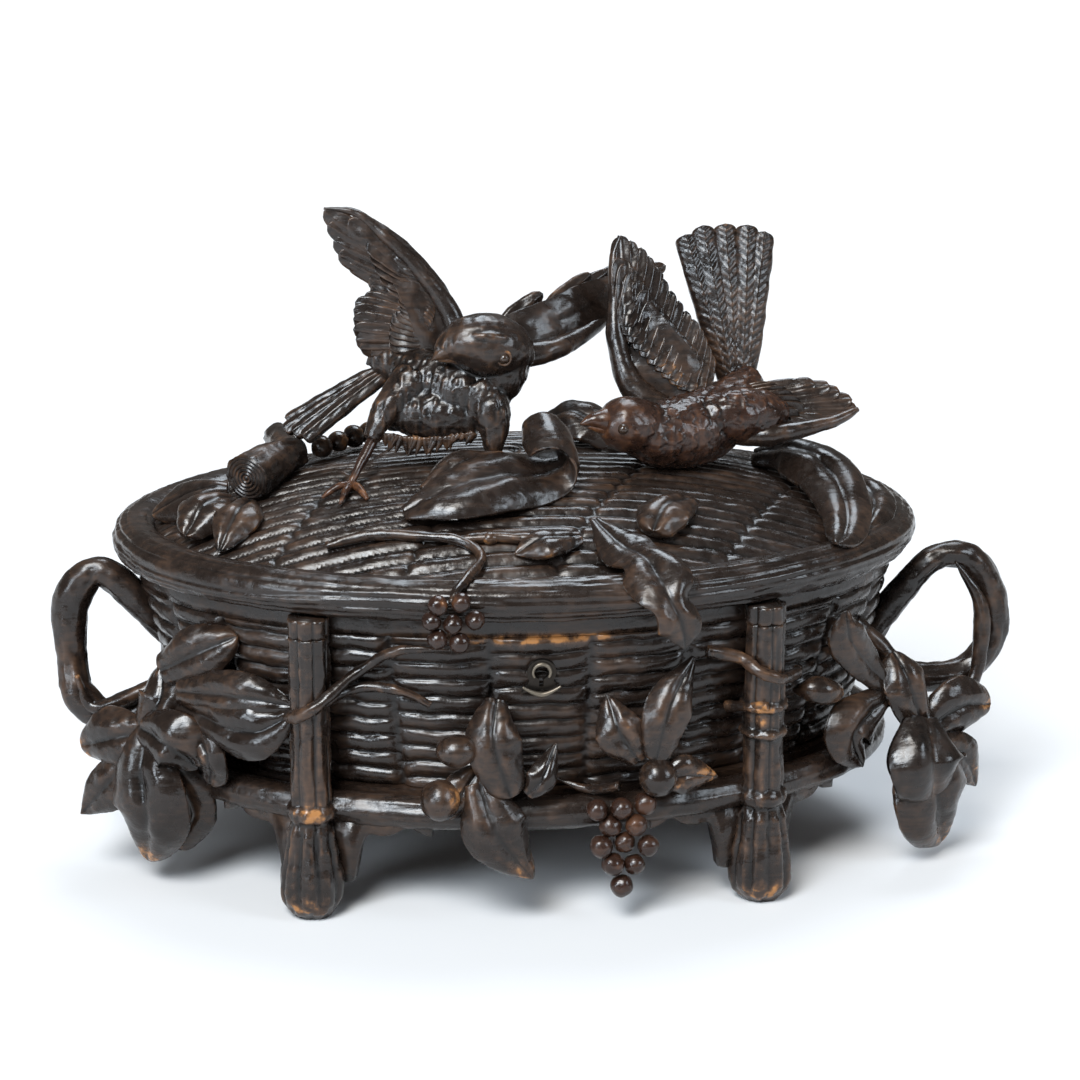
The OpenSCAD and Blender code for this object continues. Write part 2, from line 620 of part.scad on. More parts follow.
// Link plate with its staple, on the underside of the lid's frieze
module lock_link() color(brass) stand() difference() {
    union() {
        translate([staple_x - link_w / 2, link_in - basket_depth / 2, lid_z])
            cube([link_w, lock_y + staple_w / 2 + basket_depth / 2 - link_in, plate_t]);
        translate([staple_x - staple_t / 2, lock_y - staple_w / 2, staple_z])
            cube([staple_t, staple_w, lid_z + plate_t - staple_z]);
    }
    translate([staple_x - staple_t, lock_y - staple_w / 2 + staple_rib, staple_z + staple_rib])
        cube([2 * staple_t, staple_w - 2 * staple_rib, tongue_h + 2 * eye_gap]);
    at_link_screws() cylinder(r = screw_r + slack, h = 4, center = true);
}

module at_link_screws() for (sx = [-1, 1])
    translate([staple_x + sx * link_screw_x, -(basket_depth / 2 - wall_t / 2), lid_z + plate_t]) children();

module link_screws() color(brass) stand() at_link_screws()
    translate([0, 0, -plate_t]) cylinder(r = screw_r, h = link_screw_len + plate_t);

// Hinges

module hinge_recess(side, z, h) translate([side * hinge_spacing / 2 - hinge_len / 2 - fit / 2,
    basket_depth / 2 - plate_depth - fit / 2, z - fit / 4]) cube([hinge_len + fit, plate_depth + 4, h]);

// One third of a hinge: a knuckle with the tongue that joins it to its plate
module knuckle(k, z, bore) translate([(k - 1) * (knuckle_len + hinge_gap), 0, 0]) difference() {
    union() {
        translate([-knuckle_len / 2, hinge_y, hinge_z]) rotate([0, 90, 0])
            cylinder(d = knuckle_d, h = knuckle_len);
        translate([-knuckle_len / 2, basket_depth / 2 - 1, z])
            cube([knuckle_len, hinge_y - basket_depth / 2 + 1, plate_t]);
    }
    translate([-knuckle_len, hinge_y, hinge_z]) rotate([0, 90, 0]) cylinder(d = bore, h = 2 * knuckle_len);
}

module hinge_plate(z) difference() {
    translate([-hinge_len / 2, basket_depth / 2 - plate_depth, z])
        cube([hinge_len, plate_depth - 0.6, plate_t]);
    for (sx = [-1, 1]) translate([sx * hinge_screw_x, basket_depth / 2 - plate_depth / 2, z - 1])
        cylinder(r = screw_r + slack, h = plate_t + 2);
}

module hinge_base(side) color(brass) stand() translate([side * hinge_spacing / 2, 0, 0]) {
    hinge_plate(parting - plate_t);
    for (k = [0, 2]) knuckle(k, parting - plate_t, pin_d + 0.04);
}

module hinge_lid(side) color(brass) stand() translate([side * hinge_spacing / 2, 0, 0]) {
    hinge_plate(lid_z);
    knuckle(1, lid_z, pin_d + 2 * slack);
}

module hinge_pin(side) color(brass) stand()
    translate([side * hinge_spacing / 2 - hinge_len / 2, hinge_y, hinge_z])
        rotate([0, 90, 0]) cylinder(d = pin_d, h = hinge_len);

module hinge_base_left() hinge_base(-1);
module hinge_base_right() hinge_base(1);
module hinge_lid_left() hinge_lid(-1);
module hinge_lid_right() hinge_lid(1);
module hinge_pin_left() hinge_pin(-1);
module hinge_pin_right() hinge_pin(1);

module at_hinge_screws() for (side = [-1, 1], sx = [-1, 1])
    translate([side * hinge_spacing / 2 + sx * hinge_screw_x, basket_depth / 2 - plate_depth / 2, 0])
        children();

module hinge_base_screws() color(brass) stand() at_hinge_screws()
    translate([0, 0, parting - hinge_screw_len]) cylinder(r = screw_r, h = hinge_screw_len);

module hinge_lid_screws() color(brass) stand() at_hinge_screws()
    translate([0, 0, lid_z]) cylinder(r = screw_r, h = hinge_screw_len);

module at_board_screws() for (t = [0:60:300])
    translate(on_wall(t + 0.1, 0, -wall_t / 2) - [0, 0, board_t]) children();

module board_screw(grow) {
    cylinder(r = board_screw_r + grow, h = board_screw_len);
    cylinder(r1 = board_screw_head_r + grow, r2 = board_screw_r + grow, h = 2.4);
}

module board_screws() color(iron) stand() at_board_screws() difference() {
    board_screw(0);
    translate([-4, -0.4, -0.1]) cube([8, 0.8, 0.8]);
}

// Lid

module lid_rim() color(dark_wood) stand() difference() {
    hoop(basket_len / 2, basket_depth / 2, concat([for (l = rim_levels) l],
        [[-0.35 * rim_out, rim_top], [-seat_in, dome_edge_z], [-seat_in, seat_z], [-wall_t, seat_z],
            [-wall_t, lid_z]]));
    for (sx = [-1, 1], sy = [-1, 1]) translate(post_at(sx, sy) + [0, 0, lid_z - 1])
        cylinder(r = post_r + fit, h = frieze_h + 1);
    for (side = [-1, 1]) hinge_recess(side, lid_z - 1, plate_t + 1 + fit / 2);
    translate([staple_x - link_w / 2 - fit / 2, link_in - fit / 2 - basket_depth / 2, lid_z - 1])
        cube([link_w + fit, wall_t, plate_t + 1 + fit / 2]);
    at_hinge_screws() translate([0, 0, lid_z]) cylinder(r = screw_r + slack, h = hinge_screw_len + fit);
    at_link_screws() cylinder(r = screw_r + slack, h = link_screw_len + fit);
}

module lid_post_tops() color(dark_wood) stand() for (sx = [-1, 1], sy = [-1, 1])
    translate(post_at(sx, sy) + [0, 0, lid_z]) reeds(frieze_h - fit);

// Groove depth on the lid: strands run along its length and their ends step back from row to row
strand_rows = 2 * ceil(dome_b / strand_w);
strand_steps = 8;
function strand_dip(i, j) =
    i == 0 || i == 2 * strand_rows || j == 0 || j == strand_steps ? 0
        : i % 2 == 0 ? 1 : ((j + floor(i / 2)) % 3 == 0 ? 0.7 : 0);

module lid_dome() color(dark_wood) stand()
    skin([for (i = [0:2 * strand_rows])
        let (y = 0.985 * dome_b * (i / strand_rows - 1), half = dome_a * sqrt(1 - pow(y / dome_b, 2)))
        concat([for (j = [0:strand_steps]) on_dome(half * (2 * j / strand_steps - 1), y, -dome_t)],
            [for (j = [strand_steps:-1:0])
                on_dome(half * (2 * j / strand_steps - 1), y, -weave_depth * strand_dip(i, j))])]);

// Left bird: body low behind, head turned to the left, wings raised

module left_bird(grow = 0) perch() {
    branch([[-54, 8, 36], [-44, 4, 33], [-30, -3, 28], [-16, -9, 25], [-6, -12, 28]],
        [4, 8, 13, 14, 7], steps = 10, grow = grow);
    branch([[-16, -8, 26], [-8, -12, 32], [-3, -13, 40]], [11, 10, 8], up = [0, 1, 0], steps = 4,
        grow = grow);
    branch([[4, -12, 38], [-3, -13, 41], [-12, -14.5, 43.5], [-20, -15.6, 43.5], [-27, -16.8, 41],
        [-32, -18, 37.8]], [4, 10, 11.5, 10, 5, 0.4], steps = 10, grow = grow);
    branch([[-46, -6, 20], [-30, -11, 17], [-14, -14, 18]], [7, 11, 8], steps = 5, grow = grow);
    branch([[-38, -3, 26], [-48, -11, 17], [-54, -16, 9]], [9, 6, 2.6], up = [0, 1, 0], sides = 6,
        steps = 5, grow = grow);
    branch([[-14, -12, 22], [-9, -20, 13], [-10, -25, 5]], [9, 6, 2.6], up = [0, 1, 0], sides = 6,
        steps = 5, grow = grow);
}

module left_bird_body() color(dark_wood) stand() left_bird();

module left_bird_wing_left() color(dark_wood) stand() difference() {
    perch() wing([[-19, -4, 34], [-24, 0, 50], [-38, 4, 68], [-54, 8, 83], [-69, 10, 92]],
        [18, 33, 20, 14, 4], [-0.97, 0.1, -0.1]);
    left_bird(fit);
}

module left_bird_wing_right() color(dark_wood) stand() difference() {
    perch() wing([[-4, -4, 36], [10, -2, 37], [24, 8, 40], [38, 20, 46], [59, 39, 58]],
        [14, 20, 20, 15, 4], [-0.1, 0.35, 0.93], camber = -2);
    left_bird(fit);
}

module left_bird_tail() color(dark_wood) stand() difference() {
    perch() blade([[-44, 6, 34], [-66, 4, 23], [-86, 2, 10]], [5, 7, 9], [0.4, -0.3, 0.85],
        cup = -0.2, t = 3.5, ribs = 4, steps = 5);
    left_bird(fit);
}

module left_bird_legs() color(worn_wood) stand() difference() {
    union() {
        twig([on_crown(-53, -15, 12), on_dome(-62, -26, 4), on_dome(-64, -29, 1)], 1.8, 1.6, 3);
        for (toe = [[-74, -31], [-68, -38], [-58, -38]])
            twig([on_dome(-63, -28, 2.4), on_dome(toe.x, toe.y, 1)], 1.4, 1, 1);
        twig([on_crown(-10, -24, 7), on_dome(-10, -27, 2), on_dome(-10, -28, 0.5)], 1.8, 1.6, 3);
    }
    left_bird(fit);
    lid_solid(fit);
}

module left_bird_eyes() color(eye_bead) stand() difference() {
    perch() {
        ball([-7, -24.8, 41.5], 2, 16);
        ball([-9, -2.4, 43], 2, 16);
    }
    left_bird(0.1);
}

// Right bird: body along the lid, tail and one wing upright, the other wing to the side

module right_bird(grow = 0) perch() {
    branch([[89, 8, 24], [80, -3, 16], [66, -12, 10], [50, -20, 10], [40, -24, 14]], [6, 11, 15.5, 12, 8],
        steps = 10, grow = grow);
    branch([[48, -21, 13], [38, -25, 15.5], [31, -27, 16.5], [26, -28.5, 17.5], [20.5, -30, 18.5]],
        [9, 10.5, 7, 3, 0.4], steps = 8, grow = grow);
}

module right_bird_body() color(worn_wood) stand() difference() {
    right_bird();
    lid_solid(fit);
}

module right_bird_wing_up() color(dark_wood) stand() difference() {
    perch() wing([[56, -9, 14], [40, 0, 33], [37, 5, 48], [37, 9, 64], [39, 12, 79]],
        [30, 27, 24, 14, 4], [0.78, 0.1, 0.6], camber = -2);
    right_bird(fit);
}

module right_bird_wing_side() color(dark_wood) stand() difference() {
    perch() wing([[74, -18, 4], [92, -18, 6], [108, -14, 10], [120, -10, 13], [127, -8, 16]],
        [16, 17, 15, 10, 3], [-0.1, 0.35, 0.93], camber = -2);
    right_bird(fit);
    lid_solid(fit);
}

module right_bird_tail() color(dark_wood) stand() difference() {
    perch() blade([[84, 4, 18], [83, 13, 50], [82, 20, 80]], [7, 11, 16.5], [0, -1, 0.2],
        cup = 0.15, t = 4, ribs = 5, steps = 4);
    right_bird(fit);
}

module right_bird_eyes() color(eye_bead) stand() difference() {
    perch() {
        ball([35.5, -35.2, 16.5], 2, 16);
        ball([37, -15.4, 19], 2, 16);
    }
    right_bird(0.1);
}

// Leaves, branch and berries on the lid

lid_up = [0, -0.3, 0.95];

module curled_leaf() color(dark_wood) stand() difference() {
    union() {
        blade([on_dome(-46, -53, 3), on_dome(-30, -51, 7), on_dome(-12, -46, 8), on_crown(4, -39, 1),
            on_crown(13.5, -35, 3), on_crown(15.5, -34, 9.5), on_crown(10, -34, 15),
            on_crown(3, -34, 13.5), on_crown(1.5, -34, 8.5)], [3, 11, 13, 11, 9.5, 9, 8.5, 7.5, 6],
            lid_up, cup = -0.1, t = 3.2, steps = 22, side = [0.15, -0.95, -0.1]);
        blade([on_dome(-38, -44, 5), on_dome(-22, -36, 9), on_dome(-6, -32, 9)], [3, 10, 2],
            lid_up, cup = petal_dome, t = 5);
    }
    lid_solid(fit);
    left_bird(fit);
    left_leg_room();
}

module left_leg_room() twig([on_crown(-10, -24, 7), on_dome(-10, -28, 0)], 2.4, 2.2, 1);

module drooping_leaf() color(dark_wood) stand() difference() {
    blade([on_dome(22, -62, 3), on_dome(30, -77, 6), [38, -basket_depth / 2, rim_top + 5],
        [43, droop_y + 8, rim_top - 4], [48, droop_y + 6, rim_z], [49, droop_y + 8, parting - 2]],
        [2, 9, 12, 11, 8, 0.6], [0, -0.6, 0.8], t = 4, steps = 11);
    lid_solid(fit);
}

module cupped_leaf() color(dark_wood) stand() difference() {
    blade([on_dome(60, -48, 4), on_dome(48, -60, 8), on_dome(42, -70, 6)], [3, 9, 3],
        lid_up, cup = 0.6, t = 5);
    lid_solid(fit);
    right_bird(fit);
    drooping_leaf_room();
}

module drooping_leaf_room() twig([on_dome(22, -62, 3), on_dome(30, -77, 6)], 10, 12, 2);

module front_lid_leaf() color(dark_wood) stand() difference() {
    blade([on_dome(16, -70, 3), on_dome(2, -74, 5), on_dome(-8, -76, 2)], [3, 7, 0.6], lid_up, t = 4);
    lid_solid(fit);
    drooping_leaf_room();
}

module back_lid_leaf() color(dark_wood) stand() difference() {
    blade([on_crown(8, 16, 5), on_crown(20, 12, 11), on_crown(32, 5, 8), on_crown(39, -3, -1)],
        [3, 10, 11, 3], lid_up, cup = petal_dome, t = petal_t);
    lid_solid(fit);
    left_bird(fit);
}

module left_lid_leaves() color(dark_wood) stand() difference() {
    union() {
        blade([on_dome(-110, -10, 3), on_dome(-122, -8, 5), on_dome(-134, -4, 3)], [4, 11, 0.6],
            lid_up, t = 5);
        blade([on_dome(-106, -18, 4), on_dome(-116, -26, 9), on_dome(-124, -32, 6)], [3, 10, 2],
            lid_up, cup = 0.5, t = 6);
        blade([on_dome(-100, -22, 3), on_dome(-104, -36, 6), on_dome(-110, -48, 3)], [3, 9, 0.6],
            lid_up, t = 5);
    }
    lid_solid(fit);
    stub_branch(fit);
}

module right_lid_leaves() color(dark_wood) stand() difference() {
    union() {
        blade([on_dome(90, 3, 4), on_dome(104, -2, 11), on_dome(118, -10, 13), on_dome(131, -17, 6)],
            [5, 10, 11, 2], lid_up, cup = petal_dome, t = petal_t);
        blade([on_dome(104, 8, 4), on_dome(120, 14, 6), on_dome(134, 10, 3)], [4, 11, 0.6], lid_up, t = 5);
        blade([on_dome(98, 16, 3), on_dome(108, 28, 6), on_dome(116, 38, 3)], [4, 9, 0.6], lid_up, t = 5);
    }
    lid_solid(fit);
    right_bird(fit);
}

module stub_branch(grow) {
    branch([on_dome(-82, 8, 6), on_dome(-92, -4, 7), on_dome(-101, -17, 9)], stub_r * [0.7, 0.9, 1],
        sides = 12, steps = 4, grow = grow);
    branch([on_dome(-84, 6, 6), on_dome(-86, 20, 8), on_dome(-88, 33, 10)], stub_r * [0.6, 0.6, 0.6],
        sides = 10, steps = 4, grow = grow);
}

module branch_stub() color(dark_wood) stand() difference() {
    stub_branch(0);
    lid_solid(fit);
}

module bead_row() color(dark_wood) stand() for (k = [0:3])
    translate(on_dome(-72 + 6.2 * k, 12 + 5 * k, bead_r + 1.1)) sphere(bead_r);

module lid_twig() color(dark_wood) stand() difference() {
    twig([on_dome(-74, -60, 1.4), on_dome(-58, -60, 1.6), on_dome(-42, -64, 1.6), on_dome(-28, -68, 1.6),
        on_dome(-20, -76, 2), [-26, -basket_depth / 2, rim_top + 1.4],
        [-31, -basket_depth / 2 - rim_out, rim_top - 1]], 2, 1.6, 9);
    lid_solid(fit);
}

module lid_berries() color(worn_wood) stand()
    berries([-33, -basket_depth / 2 - rim_out - lid_berry_r - fit, rim_top - 4.6], [2, 3, 2], lid_berry_r);

basket_wall();
base_board();
bottom_rail();
leg_front_left();
leg_front_right();
leg_back_left();
leg_back_right();
handle_left();
handle_right();
left_end_leaves();
right_end_leaves();
front_left_leaves();
front_right_leaves();
front_left_stems();
front_right_stems();
front_berries();
keyhole_plate();
lock_case();
lock_cap();
lock_drill_pin();
lock_screws();
lock_bolt();
hinge_base_left();
hinge_base_right();
hinge_pin_left();
hinge_pin_right();
hinge_base_screws();
board_screws();
lid_rim();
lid_post_tops();
lid_dome();
hinge_lid_left();
hinge_lid_right();
hinge_lid_screws();
lock_link();
link_screws();
left_bird_body();
left_bird_wing_left();
left_bird_wing_right();
left_bird_tail();
left_bird_legs();
left_bird_eyes();
right_bird_body();
right_bird_wing_up();
right_bird_wing_side();
right_bird_tail();
right_bird_eyes();
curled_leaf();
drooping_leaf();
cupped_leaf();
front_lid_leaf();
back_lid_leaf();
left_lid_leaves();
right_lid_leaves();
branch_stub();
bead_row();
lid_twig();
lid_berries();
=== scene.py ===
# %% [markdown]
# # A carved wooden casket
# An oval box carved to look like a wicker basket stands on four bundled legs. Branches make its two
# handles, leaves and berries grow over its front, and two birds with spread wings sit on the lid.
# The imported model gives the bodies, the joints and the main sizes. This lesson dresses its carved
# pieces and gives every piece a finish.

# %% The frame and its units
import math

import bmesh
import bpy
import numpy as np
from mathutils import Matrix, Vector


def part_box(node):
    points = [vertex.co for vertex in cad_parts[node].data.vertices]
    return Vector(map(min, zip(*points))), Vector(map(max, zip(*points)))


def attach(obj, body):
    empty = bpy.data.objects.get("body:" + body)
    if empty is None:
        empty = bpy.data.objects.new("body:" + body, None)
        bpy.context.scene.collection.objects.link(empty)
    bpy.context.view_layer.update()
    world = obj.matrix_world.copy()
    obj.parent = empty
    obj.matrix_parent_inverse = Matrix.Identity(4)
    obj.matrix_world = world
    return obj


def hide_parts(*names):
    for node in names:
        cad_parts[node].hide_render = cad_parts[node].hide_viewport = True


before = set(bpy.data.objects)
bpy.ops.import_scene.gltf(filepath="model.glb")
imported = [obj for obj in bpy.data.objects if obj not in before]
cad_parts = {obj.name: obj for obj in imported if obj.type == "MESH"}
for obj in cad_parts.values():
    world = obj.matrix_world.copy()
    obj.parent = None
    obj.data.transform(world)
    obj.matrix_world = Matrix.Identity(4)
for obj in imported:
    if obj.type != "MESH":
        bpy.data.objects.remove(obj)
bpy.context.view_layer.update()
MM = 0.001

# %% [markdown]
# ## Places on the casket
# Every carving is set out in millimetres from the middle of the basket at table height, as a carver
# would measure it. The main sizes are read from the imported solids, so the dressing keeps to them.

# %% Main sizes, read from the solids
def measured(name):
    low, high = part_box(name)
    return np.array(low) / MM, np.array(high) / MM


rim_low, rim_high = measured("lid_rim")
rail_low, rail_high = measured("bottom_rail")
dome_low, dome_high = measured("lid_dome")
WALL_Z = measured("base_board")[1][2]
PARTING = measured("leg_front_left")[1][2]
WALL_H = PARTING - WALL_Z
LID_Z, RIM_TOP = rim_low[2], rim_high[2]
CROWN_Z = dome_high[2]
DOME_A = (dome_high - dome_low)[0] / 2
RAIL_R = (rail_high[2] - rail_low[2]) / 2
RAIL_Z = (rail_low[2] + rail_high[2]) / 2
FOOT_H = rail_low[2]
STAND = np.array([*(rim_low + rim_high)[:2] / 2, 0.0])
print("wall", round(WALL_H, 1), "high, crown at", round(CROWN_Z, 1))

# %% Sizes that a piece's box doesn't show
RIM_OUT, FRIEZE_IN, FRIEZE_H = 8.5, 1.0, 7.0
WALL_T, WALL_LEAN = 11.0, 15.0
SEAT_IN, SEAT_UP = 6.7, 4.7
DOME_T, DOME_GAP, DOME_POWER = 8.0, 0.7, 2.6
SHUT_GAP = 0.05  # keeps the lid's carving clear of the wall's
RAIL_OUT = 8.5
POST_ANGLE, POST_OUT, POST_R, BAND_R = 54.5, 6.5, 7.5, 9.5
HALF_LEN, HALF_DEPTH = (rim_high - rim_low)[:2] / 2 - RIM_OUT
RIM_Z = LID_Z + FRIEZE_H
SEAT_Z = RIM_Z + SEAT_UP
DOME_EDGE = SEAT_Z + DOME_T
DOME_RISE = CROWN_Z - DOME_EDGE
DOME_B = HALF_DEPTH - SEAT_IN - DOME_GAP
print("basket", round(2 * HALF_LEN, 1), "x", round(2 * HALF_DEPTH, 1))


# %% Points on the wall, the rail and the lid
def unit(v):
    v = np.asarray(v, float)
    return v / np.maximum(np.linalg.norm(v, axis=-1, keepdims=True), 1e-9)


def oval(a, b, degrees, out=0.0):
    """Point of an oval at an angle, moved out along its normal."""
    t = math.radians(degrees)
    n = unit([b * math.cos(t), a * math.sin(t)])
    return a * math.cos(t) + out * n[0], b * math.sin(t) + out * n[1]


def wall_a(up):
    return HALF_LEN - WALL_LEAN * (1 - up / WALL_H)


def on_wall(degrees, up, out=0.0):
    a = wall_a(up)
    return (*oval(a, a * HALF_DEPTH / HALF_LEN, degrees, out), WALL_Z + up)


RAIL_A = wall_a(0) + RAIL_OUT
RAIL_B = wall_a(0) * HALF_DEPTH / HALF_LEN + RAIL_OUT


def on_rail(degrees, out, up):
    return (*oval(RAIL_A, RAIL_B, degrees, out), WALL_Z + up)


def by_end(side, dx, y, up):
    return side * (HALF_LEN + dx), y, WALL_Z + up


POST_X, POST_Y = oval(RAIL_A, RAIL_B, POST_ANGLE, POST_OUT)


def by_post(side, dx, dy, up):
    return side * POST_X + dx, dy - POST_Y, WALL_Z + up


def by_front(x, dy, up):
    return x, -HALF_DEPTH - dy, WALL_Z + up


def dome_z(x, y):
    return DOME_EDGE + DOME_RISE * (1 - min(math.hypot(x / DOME_A, y / DOME_B), 1) ** DOME_POWER)


def on_dome(x, y, up=0.0):
    return x, y, dome_z(x, y) + up


def from_crown(points):
    return [(x, y, CROWN_Z + z) for x, y, z in points]


# %% [markdown]
# ## Carving tools
# A carved branch, leaf or feather is a profile that changes along a path. Curve objects with a bevel
# could do this, but their profile can't cup, fold or take a gouge mark on the way, so a small loft
# writes the rings of points itself. Relief such as bark and barbs is real geometry in each ring.

# %% Curves and directions
UP, BACK = (0, 0, 1), (0, 1, 0)
NEARBY = 0.01  # share of a path over which its heading is taken


def curve(points, t):
    """Smooth curve through the listed points or numbers, at each t from 0 to 1."""
    p = np.asarray(points, float)
    n = len(p) - 1
    s = np.clip(np.asarray(t, float), 0, 1) * n
    i = np.minimum(s.astype(int), n - 1)
    u = (s - i).reshape(s.shape + (1,) * (p.ndim - 1))
    a, b, c, d = p[np.maximum(i - 1, 0)], p[i], p[i + 1], p[np.minimum(i + 2, n)]
    return 0.5 * (2 * b + (c - a) * u + (2 * a - 5 * b + 4 * c - d) * u ** 2
                  + (3 * b - a - 3 * c + d) * u ** 3)


def along(path, t, up, side=None):
    """Middle, side and top directions at places along a path. A curl keeps one fixed side."""
    heading = unit(curve(path, t + NEARBY) - curve(path, t - NEARBY))
    side = unit(np.cross(heading, up)) if side is None else np.tile(unit(side), (len(t), 1))
    return curve(path, t), side, np.cross(side, heading)


# %% Random lumps and bark
MIX_X, MIX_Y, MIX_Z, MIX_SEED, MIX_ALL = 73856093, 19349663, 83492791, 15485863, 1274126177
TOP_VALUE = 65535
CRACK_W, SWELL = 0.22, 0.9


def lumps(points, size, seed=0):
    """Smooth random values from -1 to 1 with lumps of one size."""
    q = np.asarray(points, float) / size
    cell = np.floor(q).astype(np.int64)
    f = q - cell
    f = f * f * (3 - 2 * f)
    total = np.zeros(q.shape[:-1])
    for corner in np.ndindex(2, 2, 2):
        c = cell + corner
        h = c[..., 0] * MIX_X ^ c[..., 1] * MIX_Y ^ c[..., 2] * MIX_Z ^ (seed * MIX_SEED)
        h = (h ^ (h >> 13)) * MIX_ALL
        value = ((h ^ (h >> 16)) & TOP_VALUE) / (TOP_VALUE / 2) - 1
        total += value * np.prod(np.where(np.array(corner) == 1, f, 1 - f), axis=-1)
    return total


def bark(depth, size=3.0, stretch=7.0, seed=0):
    """Relief for a branch: long cracks that run with the grain, and broad swellings."""
    def relief(t, turn, radius, length):
        round_ = np.stack(np.broadcast_arrays(radius * np.cos(turn), radius * np.sin(turn),
                                              t * length / stretch), axis=-1)
        crack = np.exp(-(lumps(round_, size, seed) / CRACK_W) ** 2)
        return depth * (SWELL * lumps(round_, 3 * size, seed + 1) - crack)
    return relief


# %% Lofts: branch, leaf, feather and pebble
THINNEST = 0.25
LEAF_TIP_FROM, LEAF_TIP_LEN, LOBE_DEPTH, LEAF_EDGE = 0.86, 0.14, 0.3, 0.8
SHAFT_H, SHAFT_W, BARB_SLANT = 0.5, 0.16, 1.3


class Carving:
    """Points and faces of one piece, in millimetres from the middle of the basket."""

    def __init__(self):
        self.points, self.faces = np.zeros((0, 3)), []

    def add(self, points, faces):
        base = len(self.points)
        self.points = np.vstack([self.points, points])
        self.faces += [[base + i for i in face] for face in faces]

    def loft(self, rings, loop=False):
        """Skin over rings of points, closed at both ends or joined into a hoop."""
        rings = np.asarray(rings)
        n, m = rings.shape[:2]
        i, j = np.meshgrid(np.arange(n if loop else n - 1), np.arange(m), indexing="ij")
        far, on = (i + 1) % n, (j + 1) % m
        faces = np.stack([i * m + j, i * m + on, far * m + on, far * m + j], axis=-1).reshape(-1, 4).tolist()
        if not loop:
            faces += [list(range(m))[::-1], list(range((n - 1) * m, n * m))]
        self.add(rings.reshape(-1, 3), faces)

    def branch(self, path, radii, up=UP, sides=20, steps=48, relief=None):
        """Round branch of changing radius."""
        t = np.linspace(0, 1, steps + 1)
        middle, side, top = along(path, t, up)
        turn = np.linspace(0, 2 * np.pi, sides, endpoint=False)
        radius = np.maximum(curve(radii, t), THINNEST)[:, None] * np.ones(sides)
        if relief:
            length = np.linalg.norm(np.diff(middle, axis=0), axis=1).sum()
            radius = np.maximum(radius + relief(t[:, None], turn, radius, length), THINNEST)
        across = np.cos(turn)[:, None] * side[:, None] + np.sin(turn)[:, None] * top[:, None]
        self.loft(middle[:, None] + radius[..., None] * across)

    def leaf(self, rib, widths, up, cup=-0.28, thick=6.0, lobes=0, ripple=0.12, fold=0.18, side=None,
             steps=56, across=32):
        """Fleshy leaf along a midrib: domed or cupped, with a soft fold each side and round edges."""
        t = np.linspace(0, 1, steps + 1)
        middle, side, top = (x[:, None] for x in along(rib, t, up, side))
        t, v = t[:, None], -np.cos(np.linspace(0, np.pi, across + 1))
        tip = np.clip((t - LEAF_TIP_FROM) / LEAF_TIP_LEN, 0, 1)
        blunt = np.clip(1 - tip ** 2, 0.003, 1) ** 0.5
        width = np.maximum(curve(widths, t), 0.5) * blunt
        if lobes:
            notch = np.sin(np.pi * t) ** 0.5 * np.cos(np.pi * lobes * t) ** 4
            width = width * (1 - LOBE_DEPTH * notch)
        wave = np.sin(2 * np.pi * (lobes or 1.3) * t + 2.2 * v)
        bend = width * v ** 2 * (cup + ripple * wave)
        spot = middle + side * (width * v)[..., None]
        swell = fold * width * np.abs(np.sin(np.pi * v)) ** 0.8 + 0.9 * lumps(spot, 7.0) * (1 - v ** 2)
        body = np.maximum(thick * np.minimum(width / 6, 1) * (1 - 0.75 * v ** 2), LEAF_EDGE)
        self.loft(np.concatenate([spot + top * (bend + swell)[..., None],
                                  (spot + top * (bend - body)[..., None])[:, ::-1]], axis=1))

    def feather(self, path, width, face, thick=1.6, barbs=11, tip=0.6, arch=0.2, cut=0.3, tilt=0.0,
                steps=26, across=10):
        """One carved feather: a raised shaft, slanting barb cuts and a rounded tip."""
        t = np.linspace(0, 1, steps + 1)
        middle, side, top = (x[:, None] for x in along(path, t, face))
        t, v = t[:, None], np.linspace(-1, 1, across + 1)
        taper = np.sqrt(np.clip(1 - np.clip((t - tip) / (1 - tip), 0, 1) ** 2.4, 0.004, 1))
        half = width / 2 * (0.6 + 0.4 * np.minimum(t / 0.35, 1)) * taper
        bend = tilt * v - arch * half * v ** 2
        barb = cut * np.abs(np.sin(np.pi * (t * barbs - BARB_SLANT * np.abs(v)))) ** 0.6 * (1 - v ** 4)
        shaft = SHAFT_H * np.exp(-(v / SHAFT_W) ** 2)
        spot = middle + side * (half * v)[..., None]
        self.loft(np.concatenate([spot + top * (bend + barb + shaft)[..., None],
                                  (spot + top * (bend - thick)[..., None])[:, ::-1]], axis=1))

    def pebble(self, centre, sizes, sides=20, steps=12):
        """Rounded lump with three half sizes."""
        angle = np.linspace(0.06, np.pi - 0.06, steps)[:, None]
        around = np.linspace(0, 2 * np.pi, sides, endpoint=False)
        x = sizes[0] * np.sin(angle) * np.cos(around)
        y = sizes[1] * np.sin(angle) * np.sin(around)
        z = sizes[2] * np.cos(angle) * np.ones(sides)
        self.loft(np.array(centre) + np.stack([x, y, z], axis=-1))
